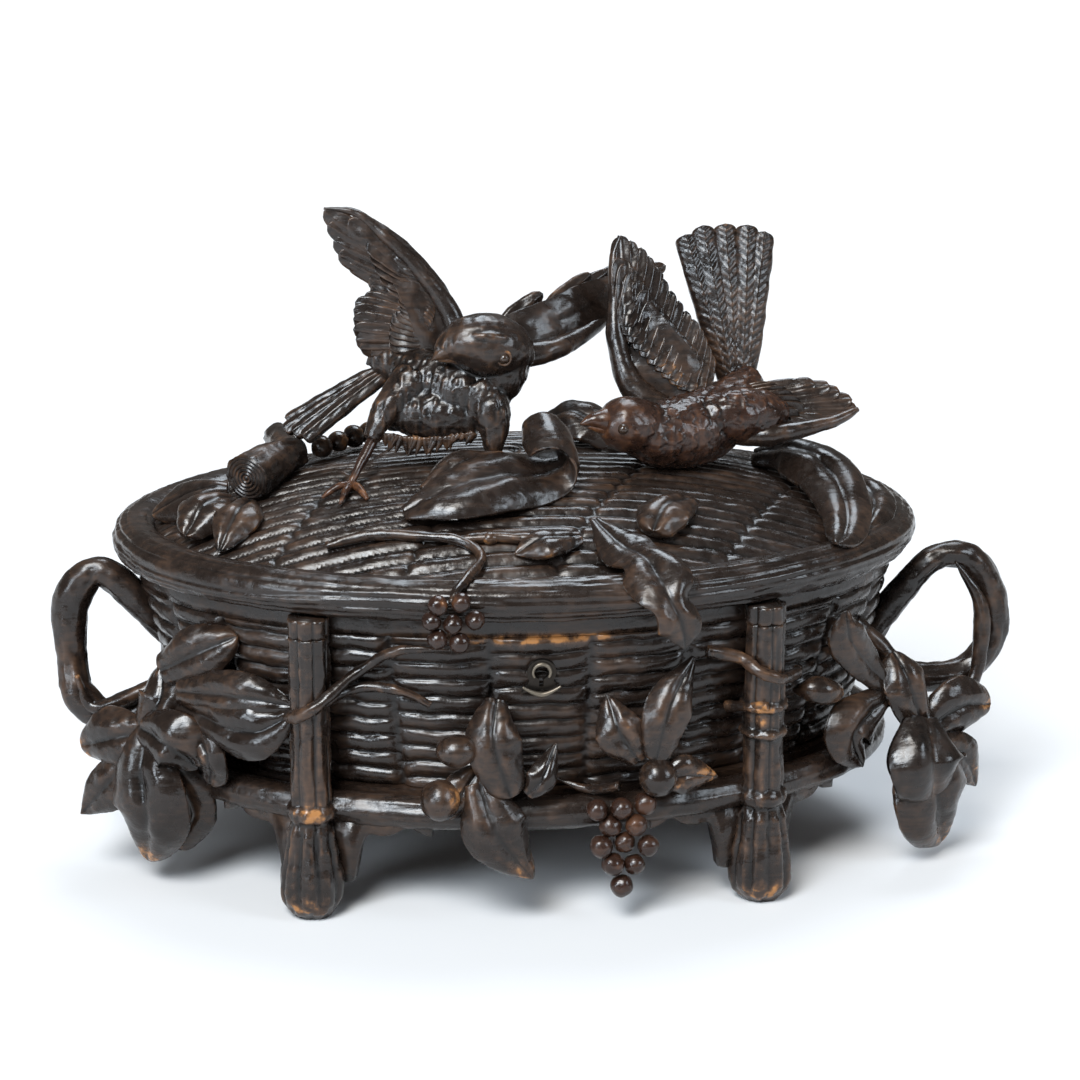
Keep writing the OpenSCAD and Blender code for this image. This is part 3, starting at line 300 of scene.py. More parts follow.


# %% [markdown]
# ## Finishes
# The casket is stained dark and polished with wax, and painted shade darkens its hollows nearly to black.
# Hands and dusters have worn every high edge back to brown. Each mesh stores how far it bulges in
# one attribute, and the wood reads it, so the wear and the painted shade follow the carving from every side.

# %% Node helpers
class Field:
    """A number in a node tree, so that a formula can be written as a sum."""

    def __init__(self, tree, socket):
        self.tree, self.socket = tree, socket

    def math(self, operation, *others):
        node = self.tree.nodes.new("ShaderNodeMath")
        node.operation = operation
        for socket, value in zip(node.inputs, (self, *others)):
            if isinstance(value, Field):
                self.tree.links.new(value.socket, socket)
            else:
                socket.default_value = value
        return Field(self.tree, node.outputs[0])

    def __add__(self, other):
        return self.math("ADD", other)

    def __sub__(self, other):
        return self.math("SUBTRACT", other)

    def __mul__(self, other):
        return self.math("MULTIPLY", other)

    def __truediv__(self, other):
        return self.math("DIVIDE", other)

    def __pow__(self, other):
        return self.math("POWER", other)


def add_node(tree, kind, inputs=None, **settings):
    """A node with its settings made and its inputs set or linked."""
    node = tree.nodes.new(kind)
    for name, value in settings.items():
        setattr(node, name, value)
    for name, value in (inputs or {}).items():
        socket = node.inputs[name]
        if isinstance(value, (Field, bpy.types.NodeSocket)):
            tree.links.new(getattr(value, "socket", value), socket)
        else:
            socket.default_value = value
    return node


# %% Waxed wood
AREA, PATCH, DENT, GRAIN = 15.0, 48.0, 260.0, 700.0  # noise scales, from broad to fine
GRAIN_STRETCH = (0.12, 1.0, 1.0)


def waxed_wood(name, hollow, body, edge, bare):
    material = bpy.data.materials.new(name)
    material.use_nodes = True
    tree = material.node_tree
    tree.nodes.clear()
    here = add_node(tree, "ShaderNodeTexCoord").outputs["Object"]
    wear_shade_and_light = Field(tree, add_node(tree, "ShaderNodeAttribute", attribute_name="wear_shade_and_light").outputs["Fac"])
    with_grain = add_node(tree, "ShaderNodeMapping", {"Vector": here, "Scale": GRAIN_STRETCH}).outputs[0]

    def noise(where, scale, detail):
        return Field(tree, add_node(tree, "ShaderNodeTexNoise", {
            "Vector": where, "Scale": scale, "Detail": detail}).outputs["Fac"])

    area, patch, dent = noise(here, AREA, 2.0), noise(here, PATCH, 4.0), noise(here, DENT, 3.0)
    grain = noise(with_grain, GRAIN, 5.0)
    flecks = ((dent * 0.6 + patch * 0.4 - 0.42) * 6.0).math("MAXIMUM", 0.0).math("MINIMUM", 1.0)
    rubbed = wear_shade_and_light.math("MAXIMUM", 0.0) ** 2.0 * (flecks * 0.75 + 0.25)
    # Below zero the bulge darkens the hollows as painted shade; above zero it shows as rubbed wear.
    tone = (rubbed * 0.9 + wear_shade_and_light.math("MINIMUM", 0.0) * 0.4 + (patch - 0.5) * 0.6 + (area - 0.5) * 0.3
            + (grain - 0.5) * 0.35 + (dent - 0.5) * 0.25 + 0.38)
    ramp = add_node(tree, "ShaderNodeValToRGB", {"Fac": tone})
    stops = ramp.color_ramp.elements
    stops[0].position = 0.1
    for position in (0.4, 0.72):
        stops.new(position)
    for stop, colour in zip(stops, (hollow, body, edge, bare)):
        stop.color = (*colour, 1.0)
    rough = (patch - 0.5) * 0.4 + (dent - 0.5) * 0.3 - wear_shade_and_light * 0.05 + 0.29
    bump = add_node(tree, "ShaderNodeBump", {
        "Height": grain * 0.5 + dent, "Strength": 0.45, "Distance": 0.0006})
    shader = add_node(tree, "ShaderNodeBsdfPrincipled", {
        "Base Color": ramp.outputs["Color"], "Roughness": rough, "Normal": bump.outputs["Normal"],
        "Coat Weight": 0.12, "Coat Roughness": 0.1, "Specular IOR Level": 0.38})
    add_node(tree, "ShaderNodeOutputMaterial", {"Surface": shader.outputs["BSDF"]})
    return material


# Colours from the hollows to bared wood: the hollow colour is painted shade, the others are the wood's body,
# worn edges and bare wood.
dark_wood = waxed_wood("dark_waxed_wood", (0.002, 0.0013, 0.001), (0.0145, 0.009, 0.0066),
                       (0.064, 0.034, 0.0195), (0.3, 0.135, 0.045))
worn_wood = waxed_wood("red_worn_wood", (0.004, 0.002, 0.0015), (0.025, 0.0112, 0.007),
                       (0.085, 0.035, 0.016), (0.34, 0.15, 0.05))


# %% Metal and bead eyes
def plain_finish(name, colour, metallic, roughness, patchy=0.2):
    material = bpy.data.materials.new(name)
    material.use_nodes = True
    tree = material.node_tree
    tree.nodes.clear()
    here = add_node(tree, "ShaderNodeTexCoord").outputs["Object"]
    stain = add_node(tree, "ShaderNodeTexNoise", {"Vector": here, "Scale": DENT, "Detail": 4.0})
    rough = Field(tree, stain.outputs["Fac"]) * patchy + (roughness - patchy / 2)
    shader = add_node(tree, "ShaderNodeBsdfPrincipled", {
        "Base Color": (*colour, 1.0), "Metallic": metallic, "Roughness": rough})
    add_node(tree, "ShaderNodeOutputMaterial", {"Surface": shader.outputs["BSDF"]})
    return material


brass = plain_finish("aged_brass", (0.42, 0.27, 0.1), 1.0, 0.38)
iron = plain_finish("dark_iron", (0.03, 0.025, 0.021), 0.9, 0.42)
rubbed_iron = plain_finish("rubbed_iron", (0.16, 0.135, 0.105), 0.8, 0.4)
bead = plain_finish("eye_bead", (0.03, 0.018, 0.012), 0.0, 0.14, 0.04)
FINISHES = {"dark_wood": dark_wood, "worn_wood": worn_wood, "brass": brass, "iron": iron}
print("finishes:", sorted(FINISHES))


# %% Wear, painted shade and light, and gouge marks
SPOT_WEAR_AND_LIGHT, EDGE_WEAR_AND_HOLLOW_SHADE, EDGE_MOST = 1.6, 4, 0.8
WORN_AND_LIT_SPOTS = [  # where hands and knocks have bared the wood, with a radius or three; the last spot is painted light on the bead row, which lies in shade
    ((-4, -91, 105.2), (34, 6, 1.8)), ((-7, -101, 22), 6), ((-31, -104, 52), 4), ((50, -99, 55), 4),
    ((59, -92, 52), 5), ((29, -107, 39), 4), ((29, -105, 26), 4), ((-34, -104, 136), 4),
    ((-35, -107, 127), 4), ((-140, -46, 13), 7), ((-163, -31, 48), 5), ((154, -48, 9), 8),
    ((153, -66, 30), 5), ((176, -36, 56), 5), ((169, -38, 30), 6), ((111, -64, 72), 4),
    ((-85, -90, 6), (8, 8, 3.5)), ((79, -90, 5), (8, 8, 3.5)), ((-82, -88, 41), (7, 7, 3)),
    # The last spot, over the bead row, is painted light: it brightens beads that lie in the shade of the
    # tail.
    ((-65, -98, 43), 6), ((78, -88, 72), 4), ((-62, 20, 160), (14, 14, 7)),
]


def mark_wear_shade_and_light(mesh, tight, reach=2):
    """Store how far each point bulges, from -1 in a hollow to 1 on an edge or a handled place: the wood
    paints shade into the hollows and wear onto the edges.
    """
    n, edges = len(mesh.vertices), np.empty(2 * len(mesh.edges), np.int32)
    spots, normals = np.empty(3 * n, np.float32), np.empty(3 * n, np.float32)
    mesh.edges.foreach_get("vertices", edges)
    mesh.vertices.foreach_get("co", spots)
    mesh.vertex_normals.foreach_get("vector", normals)
    edges, spots, normals = edges.reshape(-1, 2), spots.reshape(-1, 3) / MM, normals.reshape(-1, 3)
    pairs = np.vstack([edges, edges[:, ::-1]])
    count = np.maximum(np.bincount(pairs[:, 0], minlength=n), 1)

    def around(values):
        return np.bincount(pairs[:, 0], weights=values[pairs[:, 1]], minlength=n) / count

    span = np.linalg.norm(spots[pairs[:, 0]] - spots[pairs[:, 1]], axis=1)
    span = np.maximum(np.bincount(pairs[:, 0], weights=span ** 2, minlength=n) / count, 0.02)
    hollow = sum((around(spots[:, k]) - spots[:, k]) * normals[:, k] for k in range(3))
    # Below zero this is painted shade in the hollows; above zero it is wear on the edges.
    bulge = np.clip(-EDGE_WEAR_AND_HOLLOW_SHADE * tight * hollow / span, -2, EDGE_MOST)
    for _ in range(reach):
        bulge = 0.5 * bulge + 0.5 * around(bulge)
    # Handled places add wear; the spot over the bead row adds painted light.
    for spot, r in WORN_AND_LIT_SPOTS:
        bulge += SPOT_WEAR_AND_LIGHT * np.exp(-(((spots - STAND - spot) / r) ** 2).sum(axis=1))
    store = mesh.attributes.new("wear_shade_and_light", "FLOAT", "POINT")
    store.data.foreach_set("value", np.tanh(bulge).astype(np.float32))


GOUGE_W, RASP_W = 5.0, 2.2


def hand_cut(mesh, depth):
    """Move each point a little in or out, in lumps of two sizes, as gouge and rasp leave a surface."""
    spots, normals = (np.empty(3 * len(mesh.vertices), np.float32) for _ in range(2))
    mesh.vertices.foreach_get("co", spots)
    mesh.vertex_normals.foreach_get("vector", normals)
    where = spots.reshape(-1, 3).astype(float) / MM
    lift = depth * MM * (lumps(where, GOUGE_W, 31) + 0.6 * lumps(where, RASP_W, 32))
    mesh.vertices.foreach_set("co", spots + np.repeat(lift, 3) * normals)


# %% From points to a piece of the casket
def place(mesh, name, body, slot, *nodes, rough=0.3, tight=1.1):
    """Finish a mesh as a piece that stands for CAD nodes and rides on their body."""
    faces = bmesh.new()
    faces.from_mesh(mesh)
    bmesh.ops.recalc_face_normals(faces, faces=faces.faces)
    faces.to_mesh(mesh)
    faces.free()
    mesh.polygons.foreach_set("use_smooth", np.ones(len(mesh.polygons), bool))
    mesh.materials.clear()
    mesh.materials.append(FINISHES[slot])
    hand_cut(mesh, rough)
    mark_wear_shade_and_light(mesh, tight)
    piece = bpy.data.objects.new(name, mesh)
    bpy.context.scene.collection.objects.link(piece)
    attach(piece, body)
    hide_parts(*nodes)
    print(name, len(mesh.polygons), "faces")


def mesh_of(carving, name):
    mesh = bpy.data.meshes.new(name)
    mesh.from_pydata(((carving.points + STAND) * MM).tolist(), [], carving.faces)
    return mesh


def carve(carving, node, body, slot="dark_wood"):
    """Piece that stands for one CAD node."""
    place(mesh_of(carving, "carved_" + node), "carved_" + node, body, slot, node)


# %% [markdown]
# ## The woven wall
# The wall is carved as basketwork: short bars bulge over hidden stakes, and each column's bars sit
# half a row away from its neighbour's. It could be one bar copied hundreds of times, but the carver
# cut it from one block, so a grid is bent round the oval and a formula raises the bars.

# %% Tree helpers
def new_tree(name, sizes):
    """Geometry node tree with a named input for each size."""
    tree = bpy.data.node_groups.new(name, "GeometryNodeTree")
    tree.interface.new_socket("Geometry", in_out="INPUT", socket_type="NodeSocketGeometry")
    tree.interface.new_socket("Geometry", in_out="OUTPUT", socket_type="NodeSocketGeometry")
    for label, value in sizes.items():
        kind = "NodeSocketInt" if isinstance(value, int) else "NodeSocketFloat"
        tree.interface.new_socket(label, in_out="INPUT", socket_type=kind)
    start = tree.nodes.new("NodeGroupInput")
    return tree, {s.name: Field(tree, s) for s in start.outputs if s.name}


def end_tree(tree, geometry, material):
    """Bring millimetres to the frame's metres, then make real faces with one finish."""
    moved = add_node(tree, "GeometryNodeTransform", {
        "Geometry": geometry, "Translation": tuple(STAND * MM), "Scale": (MM, MM, MM)})
    real = add_node(tree, "GeometryNodeRealizeInstances", {"Geometry": moved.outputs[0]})
    finished = add_node(tree, "GeometryNodeSetMaterial", {
        "Geometry": real.outputs[0], "Material": material})
    add_node(tree, "NodeGroupOutput", {"Geometry": finished.outputs[0]})


def grown(tree, sizes, points=()):
    """Run a tree on a few points and keep the result as a plain mesh."""
    mesh = bpy.data.meshes.new(tree.name)
    mesh.from_pydata([tuple(p) for p in points], [], [])
    seed = bpy.data.objects.new(tree.name, mesh)
    bpy.context.scene.collection.objects.link(seed)
    modifier = seed.modifiers.new(tree.name, "NODES")
    modifier.node_group = tree
    names = {s.name: s.identifier for s in tree.interface.items_tree if s.in_out == "INPUT"}
    for label, value in sizes.items():
        modifier[names[label]] = value
    graph = bpy.context.evaluated_depsgraph_get()
    result = bpy.data.meshes.new_from_object(seed.evaluated_get(graph))
    bpy.data.objects.remove(seed)
    return result


def bent_grid(tree, across, up, spot):
    """Grid of unit size whose points are moved by a formula, with its seams welded."""
    grid = add_node(tree, "GeometryNodeMeshGrid", {
        "Size X": 1.0, "Size Y": 1.0, "Vertices X": across + 1, "Vertices Y": up + 1})
    at = add_node(tree, "ShaderNodeSeparateXYZ", {
        "Vector": add_node(tree, "GeometryNodeInputPosition").outputs[0]})
    u, v = (Field(tree, at.outputs[k]) + 0.5 for k in range(2))
    spot_node = add_node(tree, "ShaderNodeCombineXYZ", dict(zip("XYZ", spot(u, v * up))))
    bent = add_node(tree, "GeometryNodeSetPosition", {
        "Geometry": grid.outputs["Mesh"], "Position": spot_node.outputs[0]})
    return add_node(tree, "GeometryNodeMergeByDistance", {
        "Geometry": bent.outputs[0], "Distance": 0.01}).outputs[0]


# %% Weave the wall
WEAVE = {"Columns": 24, "Rows": 9, "Relief": 3.0, "Half length": HALF_LEN, "Half depth": HALF_DEPTH,
         "Lean": WALL_LEAN, "Height": WALL_H - SHUT_GAP, "Foot": WALL_Z, "Thickness": WALL_T}
BAR_POINTS_ACROSS, BAR_POINTS_UP = 18, 12
WANDER, WANDER_AROUND, WANDER_UP = 0.5, 90.0, 3.0  # rows of bars that stray up and down
BAR_LEAST = 0.78  # share of the relief that the lowest bar has
BAR_END, BAR_ROUND = 5.0, 2.0  # higher powers give squarer bars
ROW_ID = 37.0  # sets the random numbers of neighbouring rows apart
tree, size = new_tree("woven_wall", WEAVE)
outside_rows = size["Rows"] * BAR_POINTS_UP


def wall_point(u, j):
    """The grid climbs the outside, crosses the top edge, and goes down the inside to its start."""
    inside = j.math("GREATER_THAN", outside_rows + 0.5) - j.math("GREATER_THAN", outside_rows + 2.5)
    height = j.math("MINIMUM", outside_rows) / outside_rows
    height = height * j.math("LESS_THAN", outside_rows + 1.5)
    column = u * size["Columns"] + 0.5
    where = add_node(tree, "ShaderNodeCombineXYZ", {"X": u * WANDER_AROUND, "Y": height * WANDER_UP})
    wander = add_node(tree, "ShaderNodeTexNoise", {
        "Scale": 1.0, "Detail": 1.0, "Vector": where.outputs[0]})
    row = (height * size["Rows"] + column.math("FLOOR").math("MODULO", 2.0) * 0.5
           + (Field(tree, wander.outputs["Fac"]) - 0.5) * WANDER)
    over = ((column.math("FRACT") * 2.0 - 1.0).math("ABSOLUTE") ** BAR_END) * -1.0 + 1.0
    round_bar = ((row.math("FRACT") * 2.0 - 1.0).math("ABSOLUTE") ** BAR_ROUND) * -1.0 + 1.0
    cell = add_node(tree, "ShaderNodeTexWhiteNoise", {
        "W": row.math("FLOOR") * ROW_ID + column.math("FLOOR")}, noise_dimensions="1D")
    proud = Field(tree, cell.outputs["Value"]) * (1 - BAR_LEAST) + BAR_LEAST
    raised = ((over ** 0.5) * (round_bar ** 0.5) * proud - 1.0) * size["Relief"]
    out = raised * (inside * -1.0 + 1.0) - inside * size["Thickness"]
    half = size["Half length"] - size["Lean"] * (height * -1.0 + 1.0)
    deep = half * size["Half depth"] / size["Half length"]
    turn = u * (2 * math.pi)
    c, s = turn.math("COSINE"), turn.math("SINE")
    norm = ((deep * c) ** 2.0 + (half * s) ** 2.0).math("SQRT")
    return (half * c + out * deep * c / norm, deep * s + out * half * s / norm,
            size["Foot"] + size["Height"] * height)


end_tree(tree, bent_grid(tree, size["Columns"] * BAR_POINTS_ACROSS, outside_rows + 3.0, wall_point),
         dark_wood)
place(grown(tree, WEAVE), "carved_basket_wall", "base", "dark_wood", "basket_wall", rough=0.2)

# %% [markdown]
# ## The woven lid panel
# The dome is covered with straight rounded rods that lie along the casket. Their ends step back from
# rod to rod, so the joins run across the lid as slanting lines. One round grid and a formula again
# keep the panel a single closed piece, with a smooth hollow underside.

# %% Lay the rods over the dome
RODS_A_SIDE = 15
STEP_BACK = -0.6  # how far the joins shift from rod to rod, in rod widths
FIRST = 40.0  # keeps the numbers of rods and joins above zero
ROD_LEAST = 0.75  # share of the relief that the lowest rod has
ROD_END, ROD_ROUND = 14.0, 2.2
ROD_ID = 53.0
RODS = {"Rod width": 0.985 * DOME_B / RODS_A_SIDE, "Rod length": 56.0, "Relief": 2.4,
        "Half length": DOME_A, "Half depth": DOME_B, "Edge height": DOME_EDGE, "Rise": DOME_RISE,
        "Thickness": DOME_T, "Rings": 120, "Spokes": 720, "Rings under": 10}
tree, size = new_tree("woven_lid", RODS)


def lid_point(u, j):
    """Rings run from the crown to the edge on top, and back to the middle underneath."""
    under = j.math("GREATER_THAN", size["Rings"] + 0.5)
    top_share = j.math("MINIMUM", size["Rings"]) / size["Rings"]
    under_share = ((j - size["Rings"] - 1.0) / size["Rings under"]) * -1.0 + 1.0
    share = top_share * (under * -1.0 + 1.0) + under_share * under
    turn = u * (2 * math.pi)
    x = share * turn.math("COSINE") * size["Half length"]
    y = share * turn.math("SINE") * size["Half depth"]
    row = y / size["Rod width"] + FIRST
    rod = row.math("FLOOR")
    slant = (x + (rod - FIRST) * size["Rod width"] * STEP_BACK) / size["Rod length"] + FIRST
    round_rod = ((row.math("FRACT") * 2.0 - 1.0).math("ABSOLUTE") ** ROD_ROUND) * -1.0 + 1.0
    end = ((slant.math("FRACT") * 2.0 - 1.0).math("ABSOLUTE") ** ROD_END) * -1.0 + 1.0
    cell = add_node(tree, "ShaderNodeTexWhiteNoise", {
        "W": rod * ROD_ID + slant.math("FLOOR")}, noise_dimensions="1D")
    proud = Field(tree, cell.outputs["Value"]) * (1 - ROD_LEAST) + ROD_LEAST
    raised = ((round_rod ** 0.8) * (end ** 0.5) * proud - 1.0) * size["Relief"]
    z = size["Edge height"] + size["Rise"] * ((share ** DOME_POWER) * -1.0 + 1.0)
    return x, y, z + raised * (under * -1.0 + 1.0) - under * size["Thickness"]


rings = size["Rings"] + size["Rings under"] + 1.0
end_tree(tree, bent_grid(tree, size["Spokes"], rings, lid_point), dark_wood)
place(grown(tree, RODS), "carved_lid_dome", "lid", "dark_wood", "lid_dome", rough=0.2)

# %% [markdown]
# ## Rim, rail and legs
# The lid's rim and the bottom rail are carved as thick bent branches with bark lines along them. Both
# are hoops: one profile swept round the oval. The legs are bundles of canes tied with bands, on
# fluted feet, so their radius is a formula of height and angle.

# %% Rim and rail
REED_W = 3.2
GRAIN_RUN = 9  # bark lines are drawn out this much along the hoop


def hoop(a, b, profile, sides, grain, seed):
    """Closed hoop round an oval from a profile of (out, height), with bark lines along it."""
    c = Carving()
    angles = np.arange(sides) * 360.0 / sides
    out, height = np.array(profile).T
    turn = np.radians(angles)
    reach = np.linalg.norm(np.diff(np.array(profile), axis=0, append=profile[:1]), axis=1)
    run = np.concatenate([[0], np.cumsum(reach)[:-1]])
    spots = np.stack(np.broadcast_arrays(
        a * np.cos(turn)[:, None] / GRAIN_RUN, b * np.sin(turn)[:, None] / GRAIN_RUN, run[None]), axis=-1)
    reed = np.abs(np.sin(np.pi * (run / REED_W + 0.9 * lumps(spots, 6.0, seed)))) ** 0.5
    lift = grain * (reed - 1 + 0.5 * lumps(spots, 3.0, seed + 1))
    rings = []
    for angle, rise in zip(angles, lift):
        x, y = oval(a, b, angle)
        n = unit([b * math.cos(math.radians(angle)), a * math.sin(math.radians(angle))])
        o = out + rise
        rings.append(np.stack([x + o * n[0], y + o * n[1], height + 0.3 * rise], axis=-1))
    c.loft(rings, loop=True)
    return c


RIM_ROUND = [(-FRIEZE_IN, RIM_Z), (0.55 * RIM_OUT, RIM_Z + 0.6), (0.9 * RIM_OUT, RIM_Z + 4.0),
             (RIM_OUT, RIM_Z + 8.0), (0.8 * RIM_OUT, RIM_Z + 12.2), (0.25 * RIM_OUT, RIM_TOP),
             (-0.35 * RIM_OUT, RIM_TOP - 0.4), (-SEAT_IN, DOME_EDGE)]
rim_profile = [(-WALL_T, LID_Z + SHUT_GAP), (-FRIEZE_IN, LID_Z + SHUT_GAP),
               (-FRIEZE_IN, LID_Z + 0.4 * FRIEZE_H), (-FRIEZE_IN, LID_Z + 0.8 * FRIEZE_H)]
rim_profile += [tuple(p) for p in curve(RIM_ROUND, np.linspace(0, 1, 44))]
rim_profile += [(-SEAT_IN, SEAT_Z), (-WALL_T, SEAT_Z)]
carve(hoop(HALF_LEN, HALF_DEPTH, rim_profile, 420, 1.1, 3), "lid_rim", "lid")

rail_turn = np.linspace(0, 2 * np.pi, 32, endpoint=False)
rail_profile = [(RAIL_R * math.cos(t), RAIL_Z + RAIL_R * math.sin(t)) for t in rail_turn]
carve(hoop(RAIL_A, RAIL_B, rail_profile, 360, 0.9, 11), "bottom_rail", "base")

# %% Legs
FOOT_PROFILE = [6.5, 9.6, 11.2, 11.5, 11.5, 11.2, 10.6, 9.9, 9.3, 9.0, 8.8]
CANES, FLUTES, FLUTE_DEPTH = 7, 9, 0.13
CANE_LEAST, BAND_SINK = 0.84, 0.6


def cane_bundle(turn):
    return CANE_LEAST + (1 - CANE_LEAST) * np.abs(np.cos(CANES / 2 * turn)) ** 0.6


def leg_radius(z, turn, ties):
    """Ridged foot, tied bands and a bundle of canes."""
    foot = curve(FOOT_PROFILE, z / FOOT_H)
    ridge = 1 - FLUTE_DEPTH * (0.5 + 0.5 * np.cos(FLUTES * turn)) ** 3 * np.clip((z - 2) / 6, 0, 1)
    band = np.zeros_like(z)
    for middle, half in ties:
        band = np.maximum(band, np.sqrt(np.clip(1 - ((z - middle) / half) ** 2, 0, 1)))
    tied = (BAND_R - BAND_SINK) * (0.5 + 0.5 * band) * (band > 0)
    upper = np.maximum(POST_R * cane_bundle(turn), tied)
    share = np.clip((z - FOOT_H + 2) / 4, 0, 1)
    return (1 - share) * foot * ridge + share * upper


APRON_SPREAD, APRON_DROP, APRON_FLAT, APRON_FADE, SCALLOP_H, SCALLOPS = 18, 20, 0.3, 0.08, 4, 2.5
LEG_SIDES, GNARL = 84, 0.55


def apron(c, sx, sy):
    """Thin scalloped skirt that hangs from the rail on both sides of a leg."""
    post = math.radians(POST_ANGLE)
    middle = math.degrees(math.atan2(sy * math.sin(post), sx * math.cos(post)))
    for way in (-1, 1):
        rings = []
        for share in np.linspace(0, 1, 41):
            drop = (APRON_DROP * math.exp(-max(share - APRON_FLAT, 0) / APRON_FADE)
                    + SCALLOP_H * abs(math.sin(SCALLOPS * math.pi * share)))
            low = rail_low[2] + 1 - drop
            angle = middle + way * (1 + APRON_SPREAD * share)
            section = [(3.6, RAIL_Z), (3, low + 1), (0, low), (-3, low + 1), (-3.6, RAIL_Z)]
            rings.append([(*oval(RAIL_A, RAIL_B, angle, out), z) for out, z in section])
        c.loft(rings)


def by_corner(sx, sy, r, turn, z):
    """Rings of points round the post at one corner."""
    x, y = sx * POST_X + r * np.cos(turn), sy * POST_Y + r * np.sin(turn)
    return np.stack([x, y, z + 0 * r], axis=-1)


def leg(sx, sy, node, ties, seed):
    c = Carving()
    foot, post = np.linspace(0.6, FOOT_H, 46), np.linspace(FOOT_H + 0.4, PARTING, 110)
    z = np.concatenate([[0, 0], foot, post])[:, None]
    turn = np.linspace(0, 2 * np.pi, LEG_SIDES, endpoint=False)
    r = leg_radius(z, turn, ties)
    r[0] *= 0.3
    spots = np.stack(np.broadcast_arrays(
        r * np.cos(turn) + 50 * seed, r * np.sin(turn), z / GRAIN_RUN), axis=-1)
    r = r + GNARL * lumps(spots, 1.7, seed)
    c.loft(by_corner(sx, sy, r, turn, z))
    apron(c, sx, sy)
    carve(c, node, "base")


RAIL_TIE = (FOOT_H + 6.0, 4.2)
UPPER_TIES = [(FOOT_H + 31.0, 2.4), (FOOT_H + 41.0, 2.4)]
leg(-1, -1, "leg_front_left", [RAIL_TIE], 1)
leg(1, -1, "leg_front_right", [RAIL_TIE, *UPPER_TIES], 2)
leg(-1, 1, "leg_back_left", [RAIL_TIE], 3)
leg(1, 1, "leg_back_right", [RAIL_TIE], 4)

# %% Cane ends on the lid
post_tops = Carving()
z = np.linspace(LID_Z, RIM_Z - 0.3, 8)[:, None]
turn = np.linspace(0, 2 * np.pi, LEG_SIDES, endpoint=False)
r = POST_R * cane_bundle(turn) * np.ones_like(z)
for sx in (-1, 1):
    for sy in (-1, 1):
        post_tops.loft(by_corner(sx, sy, r, turn, z))
carve(post_tops, "lid_post_tops", "lid")

# %% [markdown]
# ## Handles
# Each handle is a bent branch that leaves the wall below the rim and comes back near the rail, with a
# thinner shoot beside it. A lofted branch with bark relief and a few swellings reads as real wood.

# %% Handles
LEFT_REACH, RIGHT_REACH, HANDLE_R = 174.0, 189.0, 6.5


def handle(node, side, bow, bow_shares, bow_steps, shoot, shoot_radii, shoot_steps, seed):
    """Bowed branch and a thin shoot, from points measured off one end of the basket."""
    c = Carving()
    c.branch([by_end(side, *p) for p in bow], HANDLE_R * np.array(bow_shares), BACK, sides=28,
             steps=bow_steps, relief=bark(0.7, 2.6, 6.0, seed))
    c.branch([by_end(side, *p) for p in shoot], shoot_radii, BACK, sides=16, steps=shoot_steps,
             relief=bark(0.4, 2.0, 6.0, seed + 1))
    carve(c, node, "base")


up = WALL_H
far = LEFT_REACH - HALF_LEN - HANDLE_R
handle("handle_left", -1,
       [(-11.5, -6, up - 24), (1, -6, up - 7), (14, -5, up + 3), (far - 1, -4, up - 8),
        (far, -6, up - 28), (far - 3, -10, up - 44), (9, -14, up - 52), (-10, -14, up - 46)],
       [0.6, 0.95, 0.85, 1.05, 0.9, 1.05, 0.9, 0.8], 110,
       [(far - 2, -16, up - 34), (far - 8, -18, up - 46), (0, -20, up - 40), (-12, -18, up - 36)],
       [0.6, 2.6, 3.2, 3.2], 50, 5)
far = RIGHT_REACH - HALF_LEN - HANDLE_R
handle("handle_right", 1,
       [(-8, -6, up - 30), (4, -6, up - 14), (16, -5, up - 2), (far - 10, -4, up - 2),
        (far - 1, -4, up - 16), (far, -6, up - 32), (far - 10, -9, up - 45), (12, -12, up - 47),
        (-12, -12, up - 42)],
       [1, 0.85, 0.8, 0.95, 1, 0.9, 0.85, 0.9, 0.9], 120,
       [(far - 16, -10, up - 2), (far - 6, -12, up - 20), (far - 8, -16, up - 44),
        (far - 18, -24, up - 56), (6, -34, up - 54)],
       [0.8, 3.3, 3.0, 2.8, 2.2], 60, 7)

# %% [markdown]
# ## Sprays on the basket
# Thick fleshy leaves hang at both ends and at the front, with buds, fruits and thin stems that climb
# over the posts. Each leaf is lofted along its midrib, because that is how it was cut: the rib first,
# then the outline, then the fold on each side.

# %% Leaves at the ends
LEFT_OUT, RIGHT_OUT, FRONT_OUT = (-0.5, -0.85, 0.15), (0.42, -0.9, 0.1), (0, -1, 0.15)
STALK_RADII = [3.6, 3.8, 4.4]
LEFT_PETALS = [
    ([(-4, -48, 20), (0, -55, 2), (-2, -57, -16), (-1, -45, -37)], [5, 14, 15, 6]),
    ([(0, -50, 17), (-11, -63, 14), (-21, -58, 3)], [6, 13, 6]),
    ([(0, -48, 15), (-8, -49, 27), (-9, -43, 37)], [5, 10.5, 5]),
    ([(0, -48, 14), (12, -42, 10), (22, -31, 4)], [6, 11.5, 5]),
    ([(2, -46, 7), (14, -41, -10), (23, -34, -22)], [5, 9, 1]),
    ([(-3, -50, 9), (-17, -49, -14), (-11, -42, -34)], [5, 10, 4]),
    ([(-8, -49, 38), (-22, -59, 48), (-36, -60, 54)], [6, 10.5, 4]),
    ([(-14, -54, 32), (-36, -74, 36), (-54, -80, 34)], [6, 9, 2]),
    ([(-14, -54, 27), (-38, -78, 24), (-55, -82, 32)], [6, 11, 2]),
    ([(-14, -52, 24), (-24, -67, 12), (-25, -58, -3)], [4, 6, 5]),
]
